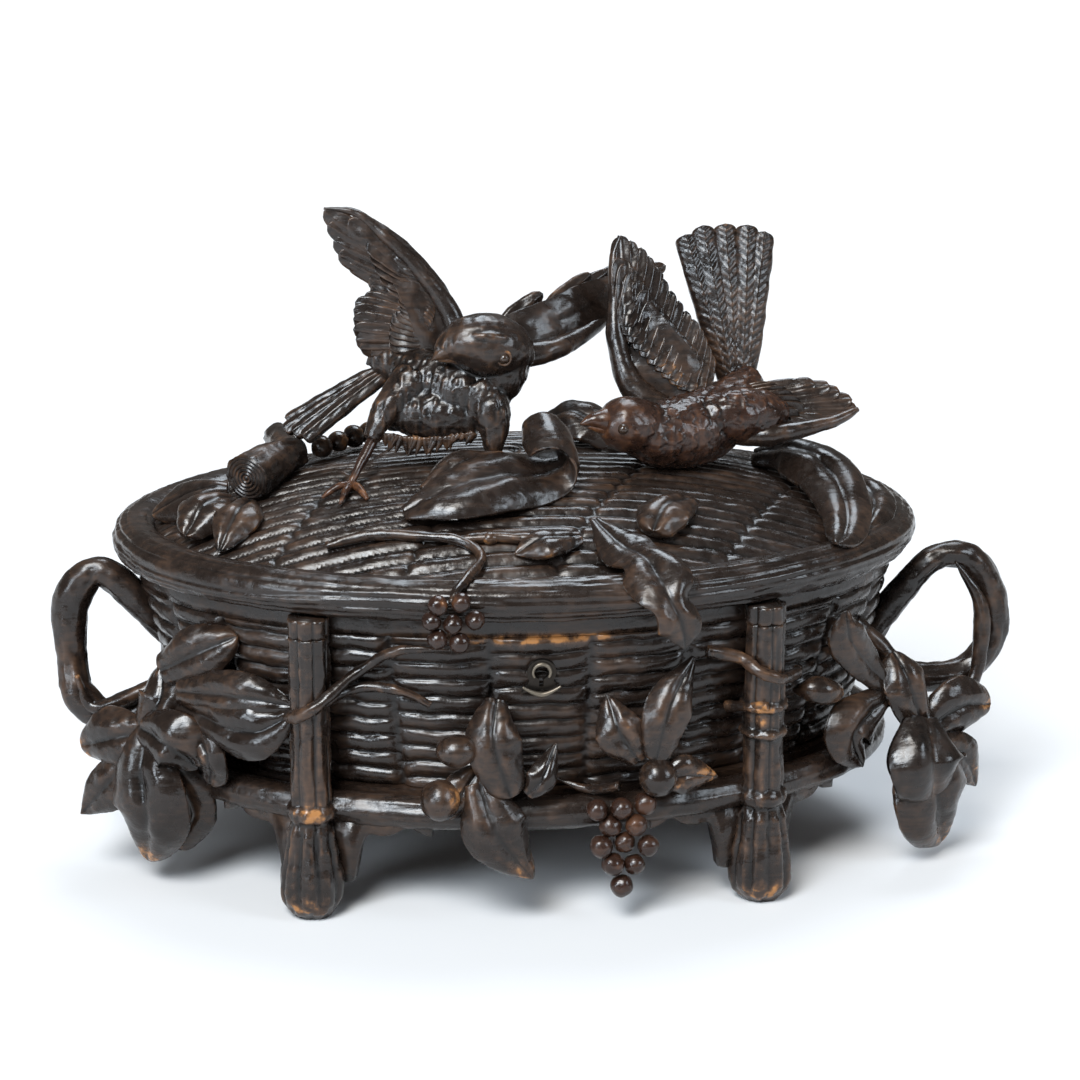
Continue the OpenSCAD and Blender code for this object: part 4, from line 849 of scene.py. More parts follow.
RIGHT_PETALS = [
    ([(4, -50, 12), (8, -57, -8), (10, -57, -24), (14, -46, -41)], [6, 14, 16, 8]),
    ([(5, -54, 12), (6, -65, -2), (7, -60, -17)], [9, 17, 12]),
    ([(7, -48, 5), (21, -43, 12), (34, -34, 9)], [6, 11, 5]),
    ([(12, -48, 0), (23, -42, -10), (29, -36, -23)], [5, 9, 1]),
    ([(3, -52, 10), (-2, -53, 25), (-7, -47, 36)], [6, 9.5, 4]),
    ([(-28, -62, 57), (-25, -61, 44), (-8, -50, 22)], [2, 8, 4]),
    ([(-8, -50, 20), (-24, -63, 10), (-19, -56, -6)], [4, 11, 2]),
]


def petals(c, ribs, facing, spot, *side):
    """Leaves whose midribs are measured from one place on the basket."""
    for rib, widths in ribs:
        c.leaf([spot(*side, *p) for p in rib], widths, facing)


def stalk(c, side, path, seed):
    c.branch([by_end(side, *p) for p in path], STALK_RADII, BACK, sides=18, steps=30,
             relief=bark(0.35, 2, 6, seed))


spray = Carving()
petals(spray, LEFT_PETALS, LEFT_OUT, by_end, -1)
stalk(spray, -1, [(-22, -36, 46), (-7, -41, 31), (-3, -46, 14)], 9)
carve(spray, "left_end_leaves", "base")

spray = Carving()
petals(spray, RIGHT_PETALS, RIGHT_OUT, by_end, 1)
stalk(spray, 1, [(-20, -36, 44), (-6, -40, 30), (2, -47, 8)], 10)
RIGHT_BUD = [(-48, -66, 29), (-42, -67, 29), (-36, -66, 28), (-31, -63, 26)]
spray.branch([by_end(1, *p) for p in RIGHT_BUD], [0.6, 4.4, 5.2, 3.2], UP, sides=20, steps=30)
carve(spray, "right_end_leaves", "base")

# %% Leaves at the front
FRONT_LEFT_PETALS = [
    ([(-16, 2, 39), (-18, 10, 25), (-12, 12, 5)], [4, 10, 6]),
    ([(-23, 8, 10), (-17, 14, -8), (-4, 9, -27)], [5, 12, 2]),
    ([(-6, 8, 5), (-1, 10, 11), (5, 3, 22)], [3, 5.5, 0.8]),
    ([(-22, 4, 14), (-29, 8, 6), (-35, 9, -3)], [3, 7, 2]),
]
FRONT_RIGHT_PETALS = [
    ([(34, 6, 15), (27, 8, 27), (23, 1, 39)], [4, 9, 1]),
    ([(55, -4, 50), (45, 6, 35), (40, 8, 15)], [1, 8.5, 5]),
    ([(42, 7, 8), (52, 6, 9), (64, -2, 5)], [4, 7, 0.6]),
]
spray = Carving()
petals(spray, FRONT_LEFT_PETALS, FRONT_OUT, by_front)
spray.pebble(by_front(-31, 8, 22), (7.4, 6, 5.8))
spray.pebble(by_front(-37, 9, 4), (7.2, 7, 7.6))
carve(spray, "front_left_leaves", "base")

spray = Carving()
petals(spray, FRONT_RIGHT_PETALS, FRONT_OUT, by_front)
spray.pebble(by_front(41, 7, 9), (7, 6.6, 7))
carve(spray, "front_right_leaves", "base")


# %% Stems over the posts
def stem(c, path, radii, steps, relief=None):
    c.branch(path, radii, (0, 1, 0.2), sides=14, steps=steps, relief=relief)


def stem_bark(seed):
    return bark(0.3, 1.8, 5, seed)


stems = Carving()
fork = by_post(-1, 0, -POST_R - 1.5, 35)
stem(stems, [by_post(-1, -9, 1, 29), fork, on_wall(-117, 47, 2.4), on_wall(-110.5, 56, 2.4),
             on_wall(-103, 56.5, 2.2)], [2.8, 2.4, 2.2, 1.8, 0.5], 60, stem_bark(12))
stem(stems, [fork, on_wall(-118, 40, 2.4), on_wall(-111, 40, 2.4), on_wall(-106.5, 35, 2.8)],
     [2.4, 2.2, 2, 1.6], 48, stem_bark(13))
carve(stems, "front_left_stems", "base")

stems = Carving()
stem(stems, [on_wall(-88, 6, 2.4), on_wall(-83, 2, 7), on_rail(-79, 8.5, 6)], [0.8, 1.9, 1.8], 30,
     stem_bark(15))
stem(stems, [on_wall(-65, 51, 2.6), on_wall(-60, 48, 6), by_post(1, -3, -POST_R - 2, 44),
             by_post(1, 5, -POST_R - 1, 41), on_wall(-48, 37.5, 7), on_wall(-46, 36, 2.6)],
     [2.4, 2.4, 2.3, 2.2, 2, 1.8], 60, stem_bark(14))
stem(stems, [on_wall(-59.5, 27, 2.4), by_post(1, 0, -POST_R - 1.5, 31)], [2.2, 1.6], 20)
carve(stems, "front_right_stems", "base")

# %% [markdown]
# ## Berries and beads
# Two bunches of berries and a row of beads are all one ball, repeated. Geometry Nodes put a small
# sphere on each point and vary its size a little with a fixed seed, as hand carving does.

# %% Balls on points
BALLS = {"Radius": 4.2, "Size spread": 0.08, "Seed": 7}
tree, size = new_tree("round_berries", BALLS)
ball = add_node(tree, "GeometryNodeMeshIcoSphere", {"Radius": size["Radius"], "Subdivisions": 4})
shrink = add_node(tree, "FunctionNodeRandomValue", {"Max": size["Size spread"], "Seed": size["Seed"]})
share = (Field(tree, shrink.outputs[1]) * -1.0) + 1.0
balls = add_node(tree, "GeometryNodeInstanceOnPoints", {
    "Points": size["Geometry"], "Instance": ball.outputs["Mesh"], "Scale": share})
end_tree(tree, balls.outputs[0], worn_wood)

BERRY_R, LID_BERRY_R, BEAD_R = 4.1, 3.8, 4.4
BERRY_GAP, ROW_DROP = 0.1, 0.88


def out_of_line(x, y, z):
    return x + 0.9 * math.sin(9 * x + z), y + 1.2 * math.sin(5 * x + z), z + 0.8 * math.cos(7 * x + 2 * z)


def bunch(at, counts, r):
    """Points of a bunch: rows of berries that hang below a point, each a little out of line."""
    step = 2 * r + BERRY_GAP
    return [out_of_line(at[0] + step * (k - (count - 1) / 2), at[1], at[2] - ROW_DROP * step * row)
            for row, count in enumerate(counts) for k in range(count)]


def ball_piece(node, body, slot, spots, tight, **changes):
    place(grown(tree, BALLS | changes, spots), "carved_" + node, body, slot, node, tight=tight)


# %% Bunches and beads
front = bunch(on_rail(-78.6, RAIL_R + BERRY_R + 0.6, -1.5), (3, 2, 3, 2, 1), BERRY_R)
ball_piece("front_berries", "base", "worn_wood", front, 0.2)
hanging = bunch((-33, -HALF_DEPTH - RIM_OUT - LID_BERRY_R - 0.3, RIM_TOP - 4.6), (2, 3, 2), LID_BERRY_R)
ball_piece("lid_berries", "lid", "worn_wood", hanging, 0.2, Radius=LID_BERRY_R, Seed=3)
row = [on_dome(-72 + 6.2 * k, 12 + 5 * k, BEAD_R + 0.6) for k in range(4)]
ball_piece("bead_row", "lid", "dark_wood", row, 1.1, Radius=BEAD_R, Seed=5)

# %% [markdown]
# ## Leaves, branch and twig on the lid
# A curled leaf lies in front of the left bird and a long one droops over the rim. At the left, a cut
# branch shows its growth rings. These are lofts again, and the rings are real grooves on the cut.

# %% Leaves on the lid
LID_UP = (0, -0.3, 0.95)
DROOP_Y = -HALF_DEPTH - RIM_OUT - 12.0
leaf = Carving()
CURL = [(4, -39, 1), (13.5, -35, 3), (15.5, -34, 9.5), (10, -34, 15), (3, -34, 13.5), (1.5, -34, 8.5)]
leaf.leaf([on_dome(-46, -53, 3), on_dome(-30, -51, 7), on_dome(-12, -46, 8), *from_crown(CURL)],
          [4, 14, 16, 14, 12, 11, 10, 9, 7], LID_UP, cup=-0.1, thick=3.2, side=(0.12, -0.92, -0.35),
          steps=110)
leaf.leaf([on_dome(-38, -44, 5), on_dome(-22, -36, 9), on_dome(-6, -32, 9)], [3, 10, 3], LID_UP, thick=5)
carve(leaf, "curled_leaf", "lid")

leaf = Carving()
leaf.leaf([on_dome(22, -62, 3), on_dome(30, -77, 6), (38, -HALF_DEPTH, RIM_TOP + 5),
           (43, DROOP_Y + 8, RIM_TOP - 4), (48, DROOP_Y + 6, RIM_Z), (49, DROOP_Y + 8, PARTING - 2)],
          [2, 9, 12, 11, 8, 0.6], (0, -0.6, 0.8), cup=-0.12, thick=4, lobes=3, steps=80)
carve(leaf, "drooping_leaf", "lid")

SINGLE_LEAVES = {
    "cupped_leaf": ([on_dome(60, -48, 4), on_dome(48, -60, 8), on_dome(42, -70, 6)], [3, 10, 5]),
    "front_lid_leaf": ([on_dome(16, -70, 3), on_dome(2, -74, 5), on_dome(-8, -76, 2)], [3, 8, 1]),
    "back_lid_leaf": (from_crown([(8, 16, 5), (20, 12, 11), (32, 5, 8), (39, -3, -1)]), [3, 10, 11, 3]),
}
for name, (rib, widths) in SINGLE_LEAVES.items():
    leaf = Carving()
    leaf.leaf(rib, widths, LID_UP)
    carve(leaf, name, "lid")

LEFT_LID_LEAVES = [
    ([(-108, -8, 4), (-122, -6, 7), (-136, -4, 4)], [5, 12, 3]),
    ([(-106, -18, 4), (-116, -27, 9), (-124, -36, 5)], [4, 11, 4]),
    ([(-100, -22, 3), (-105, -36, 7), (-112, -48, 3)], [4, 9, 2]),
]
RIGHT_LID_LEAVES = [
    ([(90, 3, 4), (104, -4, 11), (114, -20, 13), (118, -37, 9), (115, -53, 5), (110, -64, 4)],
     [5, 11, 12, 10, 7, 2]),
    ([(122, 4, 3), (131, -9, 7), (131, -26, 6), (125, -41, 3)], [4, 8, 8, 2]),
    ([(104, 8, 4), (120, 14, 7), (134, 10, 4)], [4, 11, 2]),
    ([(98, 16, 3), (108, 28, 6), (116, 38, 3)], [4, 9, 2]),
]
for name, ribs in (("left_lid_leaves", LEFT_LID_LEAVES), ("right_lid_leaves", RIGHT_LID_LEAVES)):
    leaf = Carving()
    petals(leaf, ribs, LID_UP, on_dome)
    carve(leaf, name, "lid")

# %% Cut branch and twig
RINGS, RING_H, CUT_CROWN, CUT_EDGE = 6, 0.28, 0.5, 0.8


def cut_end(c, path, r):
    """Growth rings on the sawn end of a branch."""
    facing = unit(np.subtract(path[-1], path[-2]))
    side = unit(np.cross(facing, UP))
    top = np.cross(side, facing)
    share = np.linspace(1, 0.02, 40)[:, None]
    turn = np.linspace(0, 2 * np.pi, 36, endpoint=False)
    ring = RING_H * np.sin(share * 2 * np.pi * RINGS)
    lift = CUT_CROWN - CUT_EDGE * share ** 8 + ring
    c.loft(np.array(path[-1]) + (r * share * np.cos(turn))[..., None] * side
           + (r * share * np.sin(turn))[..., None] * top + (lift + 0 * turn)[..., None] * facing)


stub = Carving()
first = [on_dome(-82, 8, 6), on_dome(-92, -4, 7), on_dome(-101, -17, 9)]
stub.branch(first, [6.3, 8.1, 9], UP, sides=36, steps=40, relief=bark(0.8, 2.6, 5, 21))
cut_end(stub, first, 8.8)
second = [on_dome(-84, 6, 6), on_dome(-86, 20, 8), on_dome(-88, 33, 10)]
stub.branch(second, [5.4, 5.4, 5.4], UP, sides=28, steps=36, relief=bark(0.6, 2.4, 5, 22))
cut_end(stub, second, 5.2)
carve(stub, "branch_stub", "lid")

twig = Carving()
fork = on_dome(-28, -68, 1.6)
twig.branch([on_dome(-74, -60, 1.4), on_dome(-58, -60, 1.6), on_dome(-42, -64, 1.6), fork,
             on_dome(-20, -76, 2), (-26, -HALF_DEPTH, RIM_TOP + 1.4),
             (-31, -HALF_DEPTH - RIM_OUT, RIM_TOP - 1), (-33, hanging[0][1] - 0.5, RIM_TOP - 4)],
            [1.6, 2, 1.9, 1.8, 1.7, 1.7, 1.5, 1.3], UP, sides=14, steps=90, relief=bark(0.3, 1.6, 5, 23))
twig.branch([fork, on_dome(-14, -69, 2.2), on_dome(2, -71, 2.4), on_dome(14, -70, 2)],
            [1.7, 2, 1.8, 1], UP, sides=14, steps=50, relief=bark(0.3, 1.6, 5, 24))
twig.pebble(on_dome(-16, -69, 2), (3.2, 2.4, 2.2))
carve(twig, "lid_twig", "lid")

# %% [markdown]
# ## The birds
# The birds are the carver's show pieces. A body could be sculpted by hand, but here its masses are
# lofted, fused by a voxel remesh and smoothed, as a carver rounds a roughed-out block. Rows of small
# feathers are then cut into the skin, and wings and tails are laid feather by feather.

# %% Fuse a body and cut its small feathers
def fused(c, grain=0.55, soften=8):
    """One skin over overlapping masses."""
    mesh = bpy.data.meshes.new("masses")
    mesh.from_pydata(c.points.tolist(), [], c.faces)
    block = bpy.data.objects.new("masses", mesh)
    bpy.context.scene.collection.objects.link(block)
    remesh = block.modifiers.new("fuse", "REMESH")
    remesh.mode, remesh.voxel_size = "VOXEL", grain
    smooth = block.modifiers.new("round", "SMOOTH")
    smooth.factor, smooth.iterations = 0.5, soften
    skin = bpy.data.meshes.new_from_object(block.evaluated_get(bpy.context.evaluated_depsgraph_get()))
    points = np.empty(3 * len(skin.vertices), np.float32)
    normals = np.empty(3 * len(skin.vertices), np.float32)
    skin.vertices.foreach_get("co", points)
    skin.vertex_normals.foreach_get("vector", normals)
    faces = [list(p.vertices) for p in skin.polygons]
    bpy.data.objects.remove(block)
    return points.reshape(-1, 3).astype(float), normals.reshape(-1, 3).astype(float), faces


TIP_CURVE, TIP_POWER, BALD_FADE = 0.42, 1.6, 4
HAIR_W, HAIR_RUN = 1.5, (1, 1, 0.13)


def feathered(c, spine, row, columns, depth, bald, hair):
    """Cut overlapping feather tips into a fused body, in rows along a spine, and hair-fine lines."""
    points, normals, faces = fused(c)
    t = np.linspace(0, 1, 90)
    path, side, top = along(from_crown(spine), t, UP)
    near = np.argmin(((points[:, None] - path) ** 2).sum(-1), axis=1)
    run = np.concatenate([[0], np.cumsum(np.linalg.norm(np.diff(path, axis=0), axis=1))])[near]
    off = points - path[near]
    turn = np.arctan2((off * top[near]).sum(-1), (off * side[near]).sum(-1)) / (2 * np.pi) * columns
    number = np.floor(run / row)
    v = 2 * ((turn + 0.5 * (number % 2)) % 1) - 1
    rise = (run / row + TIP_CURVE * v ** 2) % 1
    keep = np.ones(len(points))
    for centre, r in bald:
        away = np.linalg.norm(points - from_crown([centre]), axis=1)
        keep *= np.clip((away - r) / BALD_FADE, 0, 1)
    lift = (depth * (rise ** TIP_POWER - 0.5) + hair * lumps(points * HAIR_RUN, HAIR_W, 41)) * keep
    c.points, c.faces = points + normals * lift[:, None], faces


# %% Wings, tails and eye rings
LONG_SHEETS = ((1.0, 0.0), (0.5, 1.0), (0.28, 1.8))  # reach and lift of each layer of feathers
SHORT_SHEETS = LONG_SHEETS[:2]
DEEP_SHEETS = ((1.0, 0.0), (0.66, 0.9), (0.45, 1.7), (0.26, 2.5))


def wing(c, lead, arm, roots, tips, count, width, face, sheets, barbs=7):
    """Long feathers from a line of roots to a line of tips, coverts on both faces, a round front edge."""
    s = np.linspace(0, 1, count)
    root, tip, face = curve(from_crown(roots), s), curve(from_crown(tips), s), unit(face)
    for reach, lift in sheets:
        for sign in (1, -1) if lift else (1,):
            for start, end in zip(root, root + reach * (tip - root)):
                start, end = start + sign * lift * face, end + sign * 0.4 * lift * face
                c.feather([start, (start + end) / 2 + 0.6 * face, end], width, sign * face,
                          barbs=max(3, round(barbs * reach)), tip=0.66, arch=0.15, cut=0.12, tilt=0.8 * sign)
    c.branch(from_crown(lead), arm, face, sides=18, steps=50)


def shoulder(c, rib, widths, face, cup, thick, fold):
    """Smooth pad that covers the roots of a wing's feathers."""
    c.leaf(from_crown(rib), widths, face, cup, thick, fold=fold)


def tail(c, root, tips, width, face, barbs, cut):
    """Feathers that spread from one root, with strong barbs."""
    root, tips, face = np.array(from_crown([root])[0]), np.array(from_crown(tips)), unit(face)
    for k, end in enumerate(tips):
        start = root + 0.16 * (end - np.mean(tips, axis=0))
        lift = face * (0.7 * (k % 2))
        c.feather([start + lift, (start + end) / 2 + 1.5 * face + lift, end + lift], width, face,
                  thick=2.2, barbs=barbs, tip=0.93, arch=0.35, cut=cut, steps=90, across=16)


def masses(c, parts, sides, steps):
    """Thick branches that make up a body or a beak, measured from the crown of the lid."""
    for path, radii, up_way in parts:
        c.branch(from_crown(path), radii, up_way, sides=sides, steps=steps)


def eye_ring(c, spot, r=2.5):
    centre = np.array(from_crown([spot])[0])
    ring = [centre + r * np.array([math.cos(a), 0, math.sin(a)]) for a in np.linspace(0, 2 * np.pi, 13)]
    c.branch(ring, [0.5] * 3, BACK, sides=8, steps=36)


# %% Left bird
LEFT_MASSES = [
    ([(-54, 8, 36), (-44, 4, 33), (-30, -3, 28), (-16, -9, 25), (-6, -12, 28)], [4, 8, 13, 14, 7], UP),
    ([(-16, -8, 26), (-8, -12, 32), (-3, -13, 40)], [11, 10, 8], BACK),
    ([(4, -12, 37), (-3, -13, 41), (-12, -14.5, 44), (-20, -15.8, 45), (-26, -17, 44.2), (-31, -18.6, 42)],
     [4, 10, 12, 10.2, 6.6, 2.4], UP),
    ([(-19, -23.5, 50), (-11, -24.5, 49.5), (-3, -21.5, 47.5)], [1, 2, 1], UP),
    ([(-38, -6, 29), (-49, -13.5, 20.5), (-55.5, -18, 10.5)], [9, 5.5, 2.8], BACK),
    ([(-15, -14, 26), (-11, -21, 18), (-10.5, -25, 6)], [10, 7, 2.8], BACK),
    ([(-50, -8, 18), (-32, -11, 18), (-16, -14, 18)], [6, 10.5, 9], UP),
]
LEFT_BEAK = [
    ([(-21, -17.4, 45), (-26, -18.2, 43.8), (-30, -18.8, 42), (-33, -19.2, 39.8)], [5, 4, 2.4, 0.3], UP),
    ([(-21, -17.4, 41.4), (-26, -18.2, 40.8), (-30.5, -18.8, 39.8)], [4, 2.6, 0.3], UP),
]
LEFT_SPINE = [(-2, -13, 46), (-8, -10, 30), (-24, -6, 27), (-40, 2, 30), (-56, 9, 36)]
FRINGE, TUFTS = [(-53, -17, 13), (-42, -17, 11), (-30, -19, 11), (-18, -21, 13)], 26
bird = Carving()
masses(bird, LEFT_MASSES, 24, 40)
feathered(bird, LEFT_SPINE, 6.5, 26, 0.25, [((-12, -15, 45), 14)], 0.4)
masses(bird, LEFT_BEAK, 20, 24)
for k in range(TUFTS):
    root = curve(from_crown(FRINGE), k / (TUFTS - 1))
    lean = np.array((-1.5 + 2.2 * math.sin(5 * k), -1, -3 - 4 * abs(math.sin(3 * k))))
    bird.branch([root, root + 0.5 * lean, root + lean], [1.9, 1.3, 0.25], BACK, sides=8, steps=8)
for spot in ((-7, -25, 41.5), (-9, -2.4, 43)):
    eye_ring(bird, spot)
carve(bird, "left_bird_body", "lid")

# %% Left bird's raised wing
LEFT_FACE = (0.1, -1, 0.1)
piece = Carving()
wing(piece, [(-21, -5, 40), (-25, -1, 54), (-36, 3, 69), (-47, 6, 80), (-58, 9, 89), (-70, 10, 91)],
     [4.6, 3.8, 2.8, 2.2, 1.6, 0.5],
     [(-36, 0, 38), (-33, 0, 45), (-31, 2, 51), (-32, 3, 57), (-38, 4, 68)],
     [(-50, 2, 35), (-57, 3, 39), (-60, 3, 45), (-60, 4, 52), (-59, 5, 57), (-53, 5, 60), (-54, 6, 65),
      (-53, 7, 68), (-63, 8, 72), (-67, 9, 80), (-70, 10, 90)],
     19, 8.4, LEFT_FACE, LONG_SHEETS, 14)
shoulder(piece, [(-27, -3, 36), (-31, 0, 54), (-44, 4, 74), (-61, 8, 87)], [9, 9, 6.5, 5], LEFT_FACE,
         -0.05, 3, 0.04)
carve(piece, "left_bird_wing_left", "lid")

# %% Left bird's other wing, seen from below
UNDER = (0.43, -0.75, 0.33)
FAR_FEATHERS = [((-5, 5, 46), (11, 11, 57)), ((12, 15, 48), (31, 27, 60.5)), ((18, 20, 49), (38, 33, 60)),
                ((26, 25, 51), (47, 39, 62)), ((34, 30, 53), (62, 45, 59))]
piece = Carving()
wing(piece, [(-4, -4, 37), (10, -3, 38), (24, 7, 41), (38, 20, 47), (59, 39, 58)], [5, 4.4, 3.4, 2.4, 1],
     [(-6, -2, 41), (5, 2, 41), (17, 8, 43), (29, 16, 47)],
     [(10, 4, 52), (20, 10, 54), (29, 16, 56), (40, 24, 58.5), (50, 32, 58.5), (60, 40, 57)],
     11, 9, UNDER, SHORT_SHEETS)
shoulder(piece, [(-4, -5, 43), (14, 3, 47), (34, 17, 53), (54, 34, 57)], [9, 9.5, 8, 3], UNDER,
         -0.1, 3.5, 0.05)
for root, end in FAR_FEATHERS:
    piece.feather(from_crown([root, np.add(root, end) / 2, end]), 7.5, UNDER, 1.8, 9, 0.3, cut=0.15)
carve(piece, "left_bird_wing_right", "lid")

# %% Left bird's tail and legs
piece = Carving()
tail(piece, (-44, 6, 34), [(-80, -6, 9), (-84, -1, 9), (-87, 3, 10), (-86, 7, 12), (-82, 11, 14)],
     6.2, (0.4, -0.3, 0.85), 8, 0.15)
carve(piece, "left_bird_tail", "lid")

FOOT_X, FOOT_Y = -63, -28
legs = Carving()
legs.branch([*from_crown([(-53, -15, 12)]), on_dome(-62, -26, 4), on_dome(-64, -29, 1)], [2.2, 1.7, 1.6],
            BACK, sides=14, steps=24)
for x, y in ((-74, -31), (-68, -38), (-58, -38)):
    toe = [on_dome(FOOT_X, FOOT_Y, 2.4), on_dome((x + FOOT_X) / 2, (y + FOOT_Y) / 2, 2.6), on_dome(x, y, 0.6)]
    legs.branch(toe, [1.5, 1.4, 0.6], UP, sides=12, steps=18)
legs.branch([*from_crown([(-10, -24, 7)]), on_dome(-10, -27, 2), on_dome(-10, -28, 0.5)], [2.2, 1.8, 1.6],
            BACK, sides=14, steps=20)
carve(legs, "left_bird_legs", "lid", "worn_wood")

# %% Right bird
RIGHT_BACK = ([(89, 8, 24), (80, -3, 16), (66, -12, 10), (50, -20, 10), (40, -24, 14)],
              [6, 11, 14, 12, 8], UP)
RIGHT_MASSES = [
    ([(48, -21, 13), (38, -25, 15.5), (32, -27, 16.5), (29, -28, 17)], [9, 10.5, 8.5, 5], UP),
    ([(66, -15, 15), (80, -14, 15), (92, -12, 15), (100, -11, 15)], [8, 10.5, 8.5, 4], UP),
]
RIGHT_BEAK = ([(30, -27.4, 18), (26.5, -28.4, 18.4), (23.5, -29, 18.2), (20.5, -30, 17.4)],
              [4.6, 3.2, 1.9, 0.3], UP)
RIGHT_CHIN = ([(30, -27.4, 15.6), (26.5, -28.4, 16), (23.5, -29, 16)], [3.4, 2.2, 0.3], UP)
RIGHT_SPINE = [(34, -26, 18), (50, -20, 12), (66, -12, 11), (80, -3, 16), (90, 8, 24)]
bird = Carving()
masses(bird, [RIGHT_BACK], 24, 48)
masses(bird, RIGHT_MASSES, 24, 30)
feathered(bird, RIGHT_SPINE, 5.5, 15, 0.35, [((35, -26, 17), 10)], 0.25)
masses(bird, [RIGHT_BEAK], 20, 24)
masses(bird, [RIGHT_CHIN], 18, 18)
carve(bird, "right_bird_body", "lid", "worn_wood")

# %% Right bird's wings and tail
RIGHT_FACE = (-0.1, -1, 0.1)
piece = Carving()
wing(piece, [(54, -12, 16), (42, -8, 26), (37, -2, 42), (37, 4, 56), (37.5, 10, 70), (40, 12, 78)],
     [6, 5, 3.6, 2.6, 1.8, 1],
     [(68, -8, 21), (60, -8, 25), (53, -6, 31), (46, -4, 38), (41, -2, 45), (40, 2, 54)],
     [(71, -2, 36), (69, 0, 42), (67, 2, 47), (62, 4, 53), (57, 6, 60), (52, 9, 68), (47, 11, 74),
      (40, 12, 78)],
     14, 8, RIGHT_FACE, DEEP_SHEETS)
shoulder(piece, [(60, -9, 16), (57, -7, 28), (50, -3, 42), (43, 4, 58)], [10, 12, 9, 4], RIGHT_FACE,
         -0.05, 3, 0.04)
carve(piece, "right_bird_wing_up", "lid")

piece = Carving()
wing(piece, [(80, -15, 8), (92, -18, 8), (106, -17, 10), (118, -14, 12), (127, -10, 15)], [4, 4.2, 3, 2.2, 1],
     [(84, -4, 20), (86, -8, 16), (87, -13, 10)],
     [(106, -6, 24), (115, -7, 24), (121, -8, 21), (127, -10, 16), (120, -13, 12.5), (108, -16, 11)],
     9, 7.2, (0.06, -0.94, 0.36), LONG_SHEETS)
carve(piece, "right_bird_wing_side", "lid")

piece = Carving()
tail(piece, (84, 4, 18), [(65.5, 19, 76.5), (72, 20, 79.5), (80.5, 20, 80), (89, 20, 79.5), (95.5, 19, 77)],
     8.6, (0, -1, 0.2), 22, 0.7)
carve(piece, "right_bird_tail", "lid")

# %% [markdown]
# ## Metalwork and plain boards
# Hinges, lock, screws, the base board and the eyes are right as solids and only need their finish. The
# keyhole plate also gets a rubbed ring and a crescent, two thin branches of a brighter metal.

# %% Finish the pieces that stay
BEADS = ("left_bird_eyes", "right_bird_eyes")
FINISH_OF = {"base_board": dark_wood, "keyhole_plate": iron, "lock_drill_pin": iron, "board_screws": iron}
for name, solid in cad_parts.items():
    if solid.hide_render:
        continue
    solid.data.materials.clear()
    solid.data.materials.append(bead if name in BEADS else FINISH_OF.get(name, brass))
print("kept:", [name for name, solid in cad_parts.items() if not solid.hide_render])

# %% Rubbed edges of the keyhole plate
plate_low, plate_high = measured("keyhole_plate")
plate_x, plate_y = (plate_low + plate_high)[0] / 2 - STAND[0], plate_low[1] - STAND[1]
EYE_DROP, EYE_R, SMILE_HALF, SMILE_RISE = 5.0, 3.1, 6.8, 3.0
eye_z = plate_high[2] - EYE_DROP
edges = Carving()
edges.branch([(plate_x + EYE_R * math.cos(a), plate_y, eye_z + EYE_R * math.sin(a))
              for a in np.radians(np.linspace(-35, 215, 15))], [0.5, 0.75, 0.5], BACK, sides=12, steps=48)
edges.branch([(plate_x + SMILE_HALF * k, plate_y, plate_low[2] + SMILE_RISE * abs(k) ** 1.6)
              for k in np.linspace(-1, 1, 11)], [0.45, 1.1, 0.45], BACK, sides=12, steps=48)
edges_mesh = mesh_of(edges, "rubbed_keyhole_edges")
place(edges_mesh, "rubbed_keyhole_edges", "base", "iron", rough=0.1)
edges_mesh.materials[0] = rubbed_iron

# %% [markdown]
# ## Stage, light and camera
# A pale floor, a soft sun and large lamps, as in a shop photograph. The camera stands a little left of
# the middle and looks down seventeen degrees.

# %% Floor and world
FLOOR = 4.0
GLOW_FROM, GLOW_RISE, GLOW_MOST = 0.7, 0.45, 0.6  # whitens the far paper to the eye and in reflections
floor_mesh = bpy.data.meshes.new("floor")
corners = [(x * FLOOR, y * FLOOR, 0) for x, y in ((-1, -1), (1, -1), (1, 1), (-1, 1))]
floor_mesh.from_pydata(corners, [], [(0, 1, 2, 3)])
floor = bpy.data.objects.new("floor", floor_mesh)
bpy.context.scene.collection.objects.link(floor)
paper = bpy.data.materials.new("pale_paper")
paper.use_nodes = True
sheet = paper.node_tree
away = add_node(sheet, "ShaderNodeVectorMath", {
    "Vector": add_node(sheet, "ShaderNodeTexCoord").outputs["Object"]}, operation="LENGTH")
glow = ((Field(sheet, away.outputs["Value"]) - GLOW_FROM) * GLOW_RISE).math("MAXIMUM", 0.0)
rays = add_node(sheet, "ShaderNodeLightPath").outputs
seen = Field(sheet, rays["Is Camera Ray"])
for kind in ("Is Glossy Ray", "Is Transmission Ray"):
    seen = seen.math("MAXIMUM", Field(sheet, rays[kind]))
matt = sheet.nodes["Principled BSDF"].inputs
matt["Base Color"].default_value = (0.64, 0.64, 0.645, 1.0)
matt["Roughness"].default_value = 0.9
matt["Emission Color"].default_value = (1.0, 1.0, 1.0, 1.0)
sheet.links.new((glow.math("MINIMUM", GLOW_MOST) * seen).socket, matt["Emission Strength"])
floor_mesh.materials.append(paper)

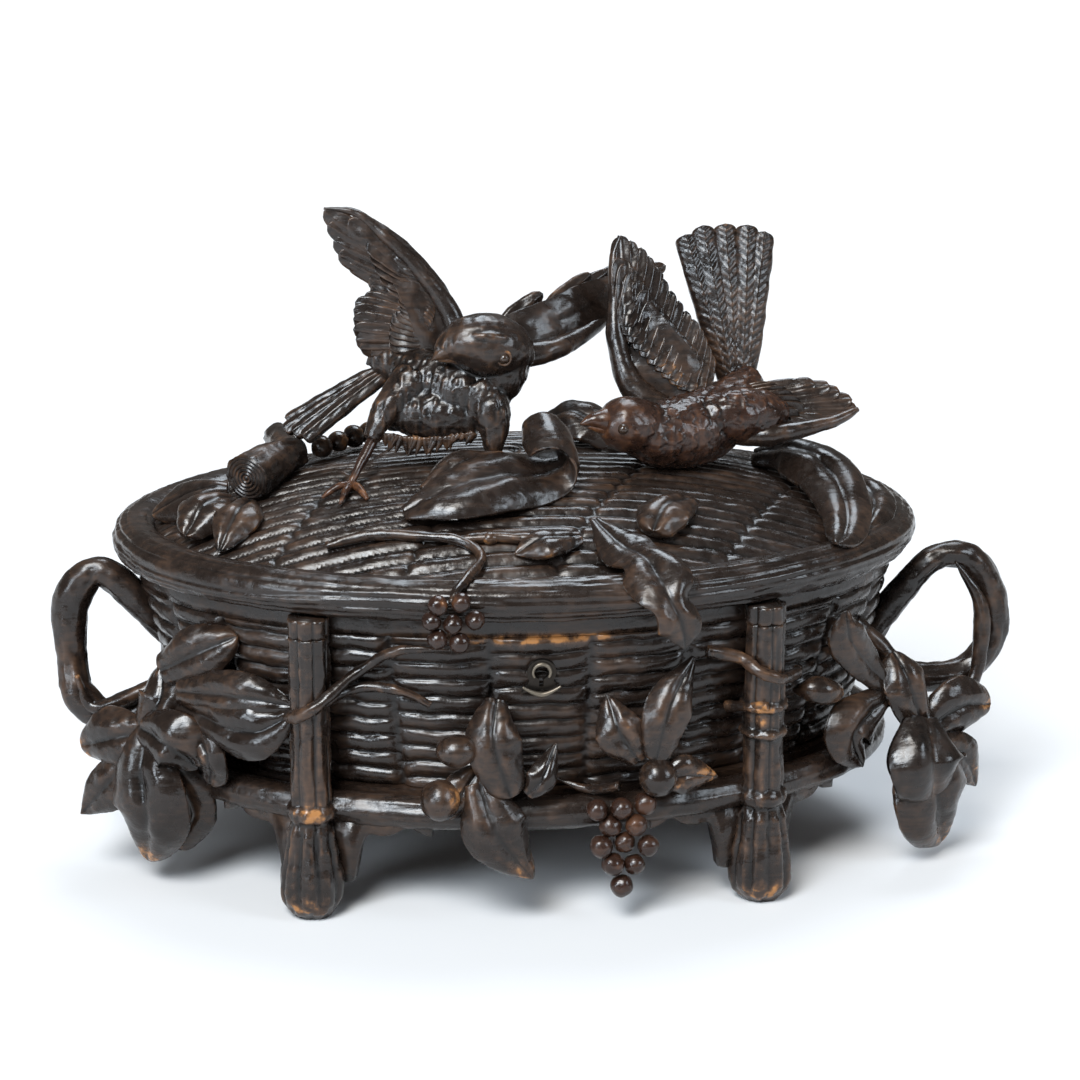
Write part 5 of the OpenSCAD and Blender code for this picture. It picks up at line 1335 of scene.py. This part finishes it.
world = bpy.data.worlds.new("studio")
bpy.context.scene.world = world
world.use_nodes = True
sky = world.node_tree.nodes["Background"].inputs
sky["Color"].default_value = (1.0, 0.96, 0.92, 1.0)
sky["Strength"].default_value = 0.16


# %% Lamps and camera
TARGET = np.array([STAND[0], STAND[1], 115.0]) * MM
COOL, COOL_TOP, WARM = (0.8, 0.9, 1.0), (0.82, 0.91, 1.0), (1.0, 0.96, 0.9)


def soft_lamp(name, spot, width, power, colour):
    light = bpy.data.lights.new(name, "AREA")
    light.shape, light.size, light.energy, light.color = "DISK", width, power, colour
    lamp = bpy.data.objects.new(name, light)
    bpy.context.scene.collection.objects.link(lamp)
    lamp.location = spot
    aim = unit(TARGET - np.array(spot))
    lamp.rotation_euler = (math.acos(-aim[2]), 0, math.atan2(aim[1], aim[0]) - math.pi / 2)


sun = bpy.data.lights.new("sun", "SUN")
sun.energy, sun.angle, sun.color = 2.2, math.radians(25), WARM
daylight = bpy.data.objects.new("sun", sun)
daylight.rotation_euler = (math.radians(38), 0, math.radians(-25))
bpy.context.scene.collection.objects.link(daylight)
soft_lamp("key", (-0.7, -1.2, 1.3), 0.85, 30.0, COOL)
soft_lamp("fill", (1.3, -0.9, 0.9), 0.7, 11.0, COOL)
soft_lamp("top", (0.2, 0.7, 1.5), 0.9, 20.0, COOL_TOP)
soft_lamp("window", (-1.2, -1.0, 0.5), 0.5, 8.0, COOL)

AZIMUTH, ELEVATION, DISTANCE = math.radians(-5.65), math.radians(17), 1.3
camera = bpy.data.objects.new("camera", bpy.data.cameras.new("camera"))
bpy.context.scene.collection.objects.link(camera)
flat, rise = math.cos(ELEVATION), math.sin(ELEVATION)
camera.location = TARGET + DISTANCE * np.array([flat * math.sin(AZIMUTH), -flat * math.cos(AZIMUTH), rise])
camera.rotation_euler = (math.pi / 2 - ELEVATION, 0, AZIMUTH)
camera.data.sensor_width, camera.data.lens = 36.0, 115.1
camera.data.shift_x, camera.data.shift_y = 0.0219, -0.0006
bpy.context.scene.camera = camera
bpy.context.scene.view_settings.view_transform = "Standard"
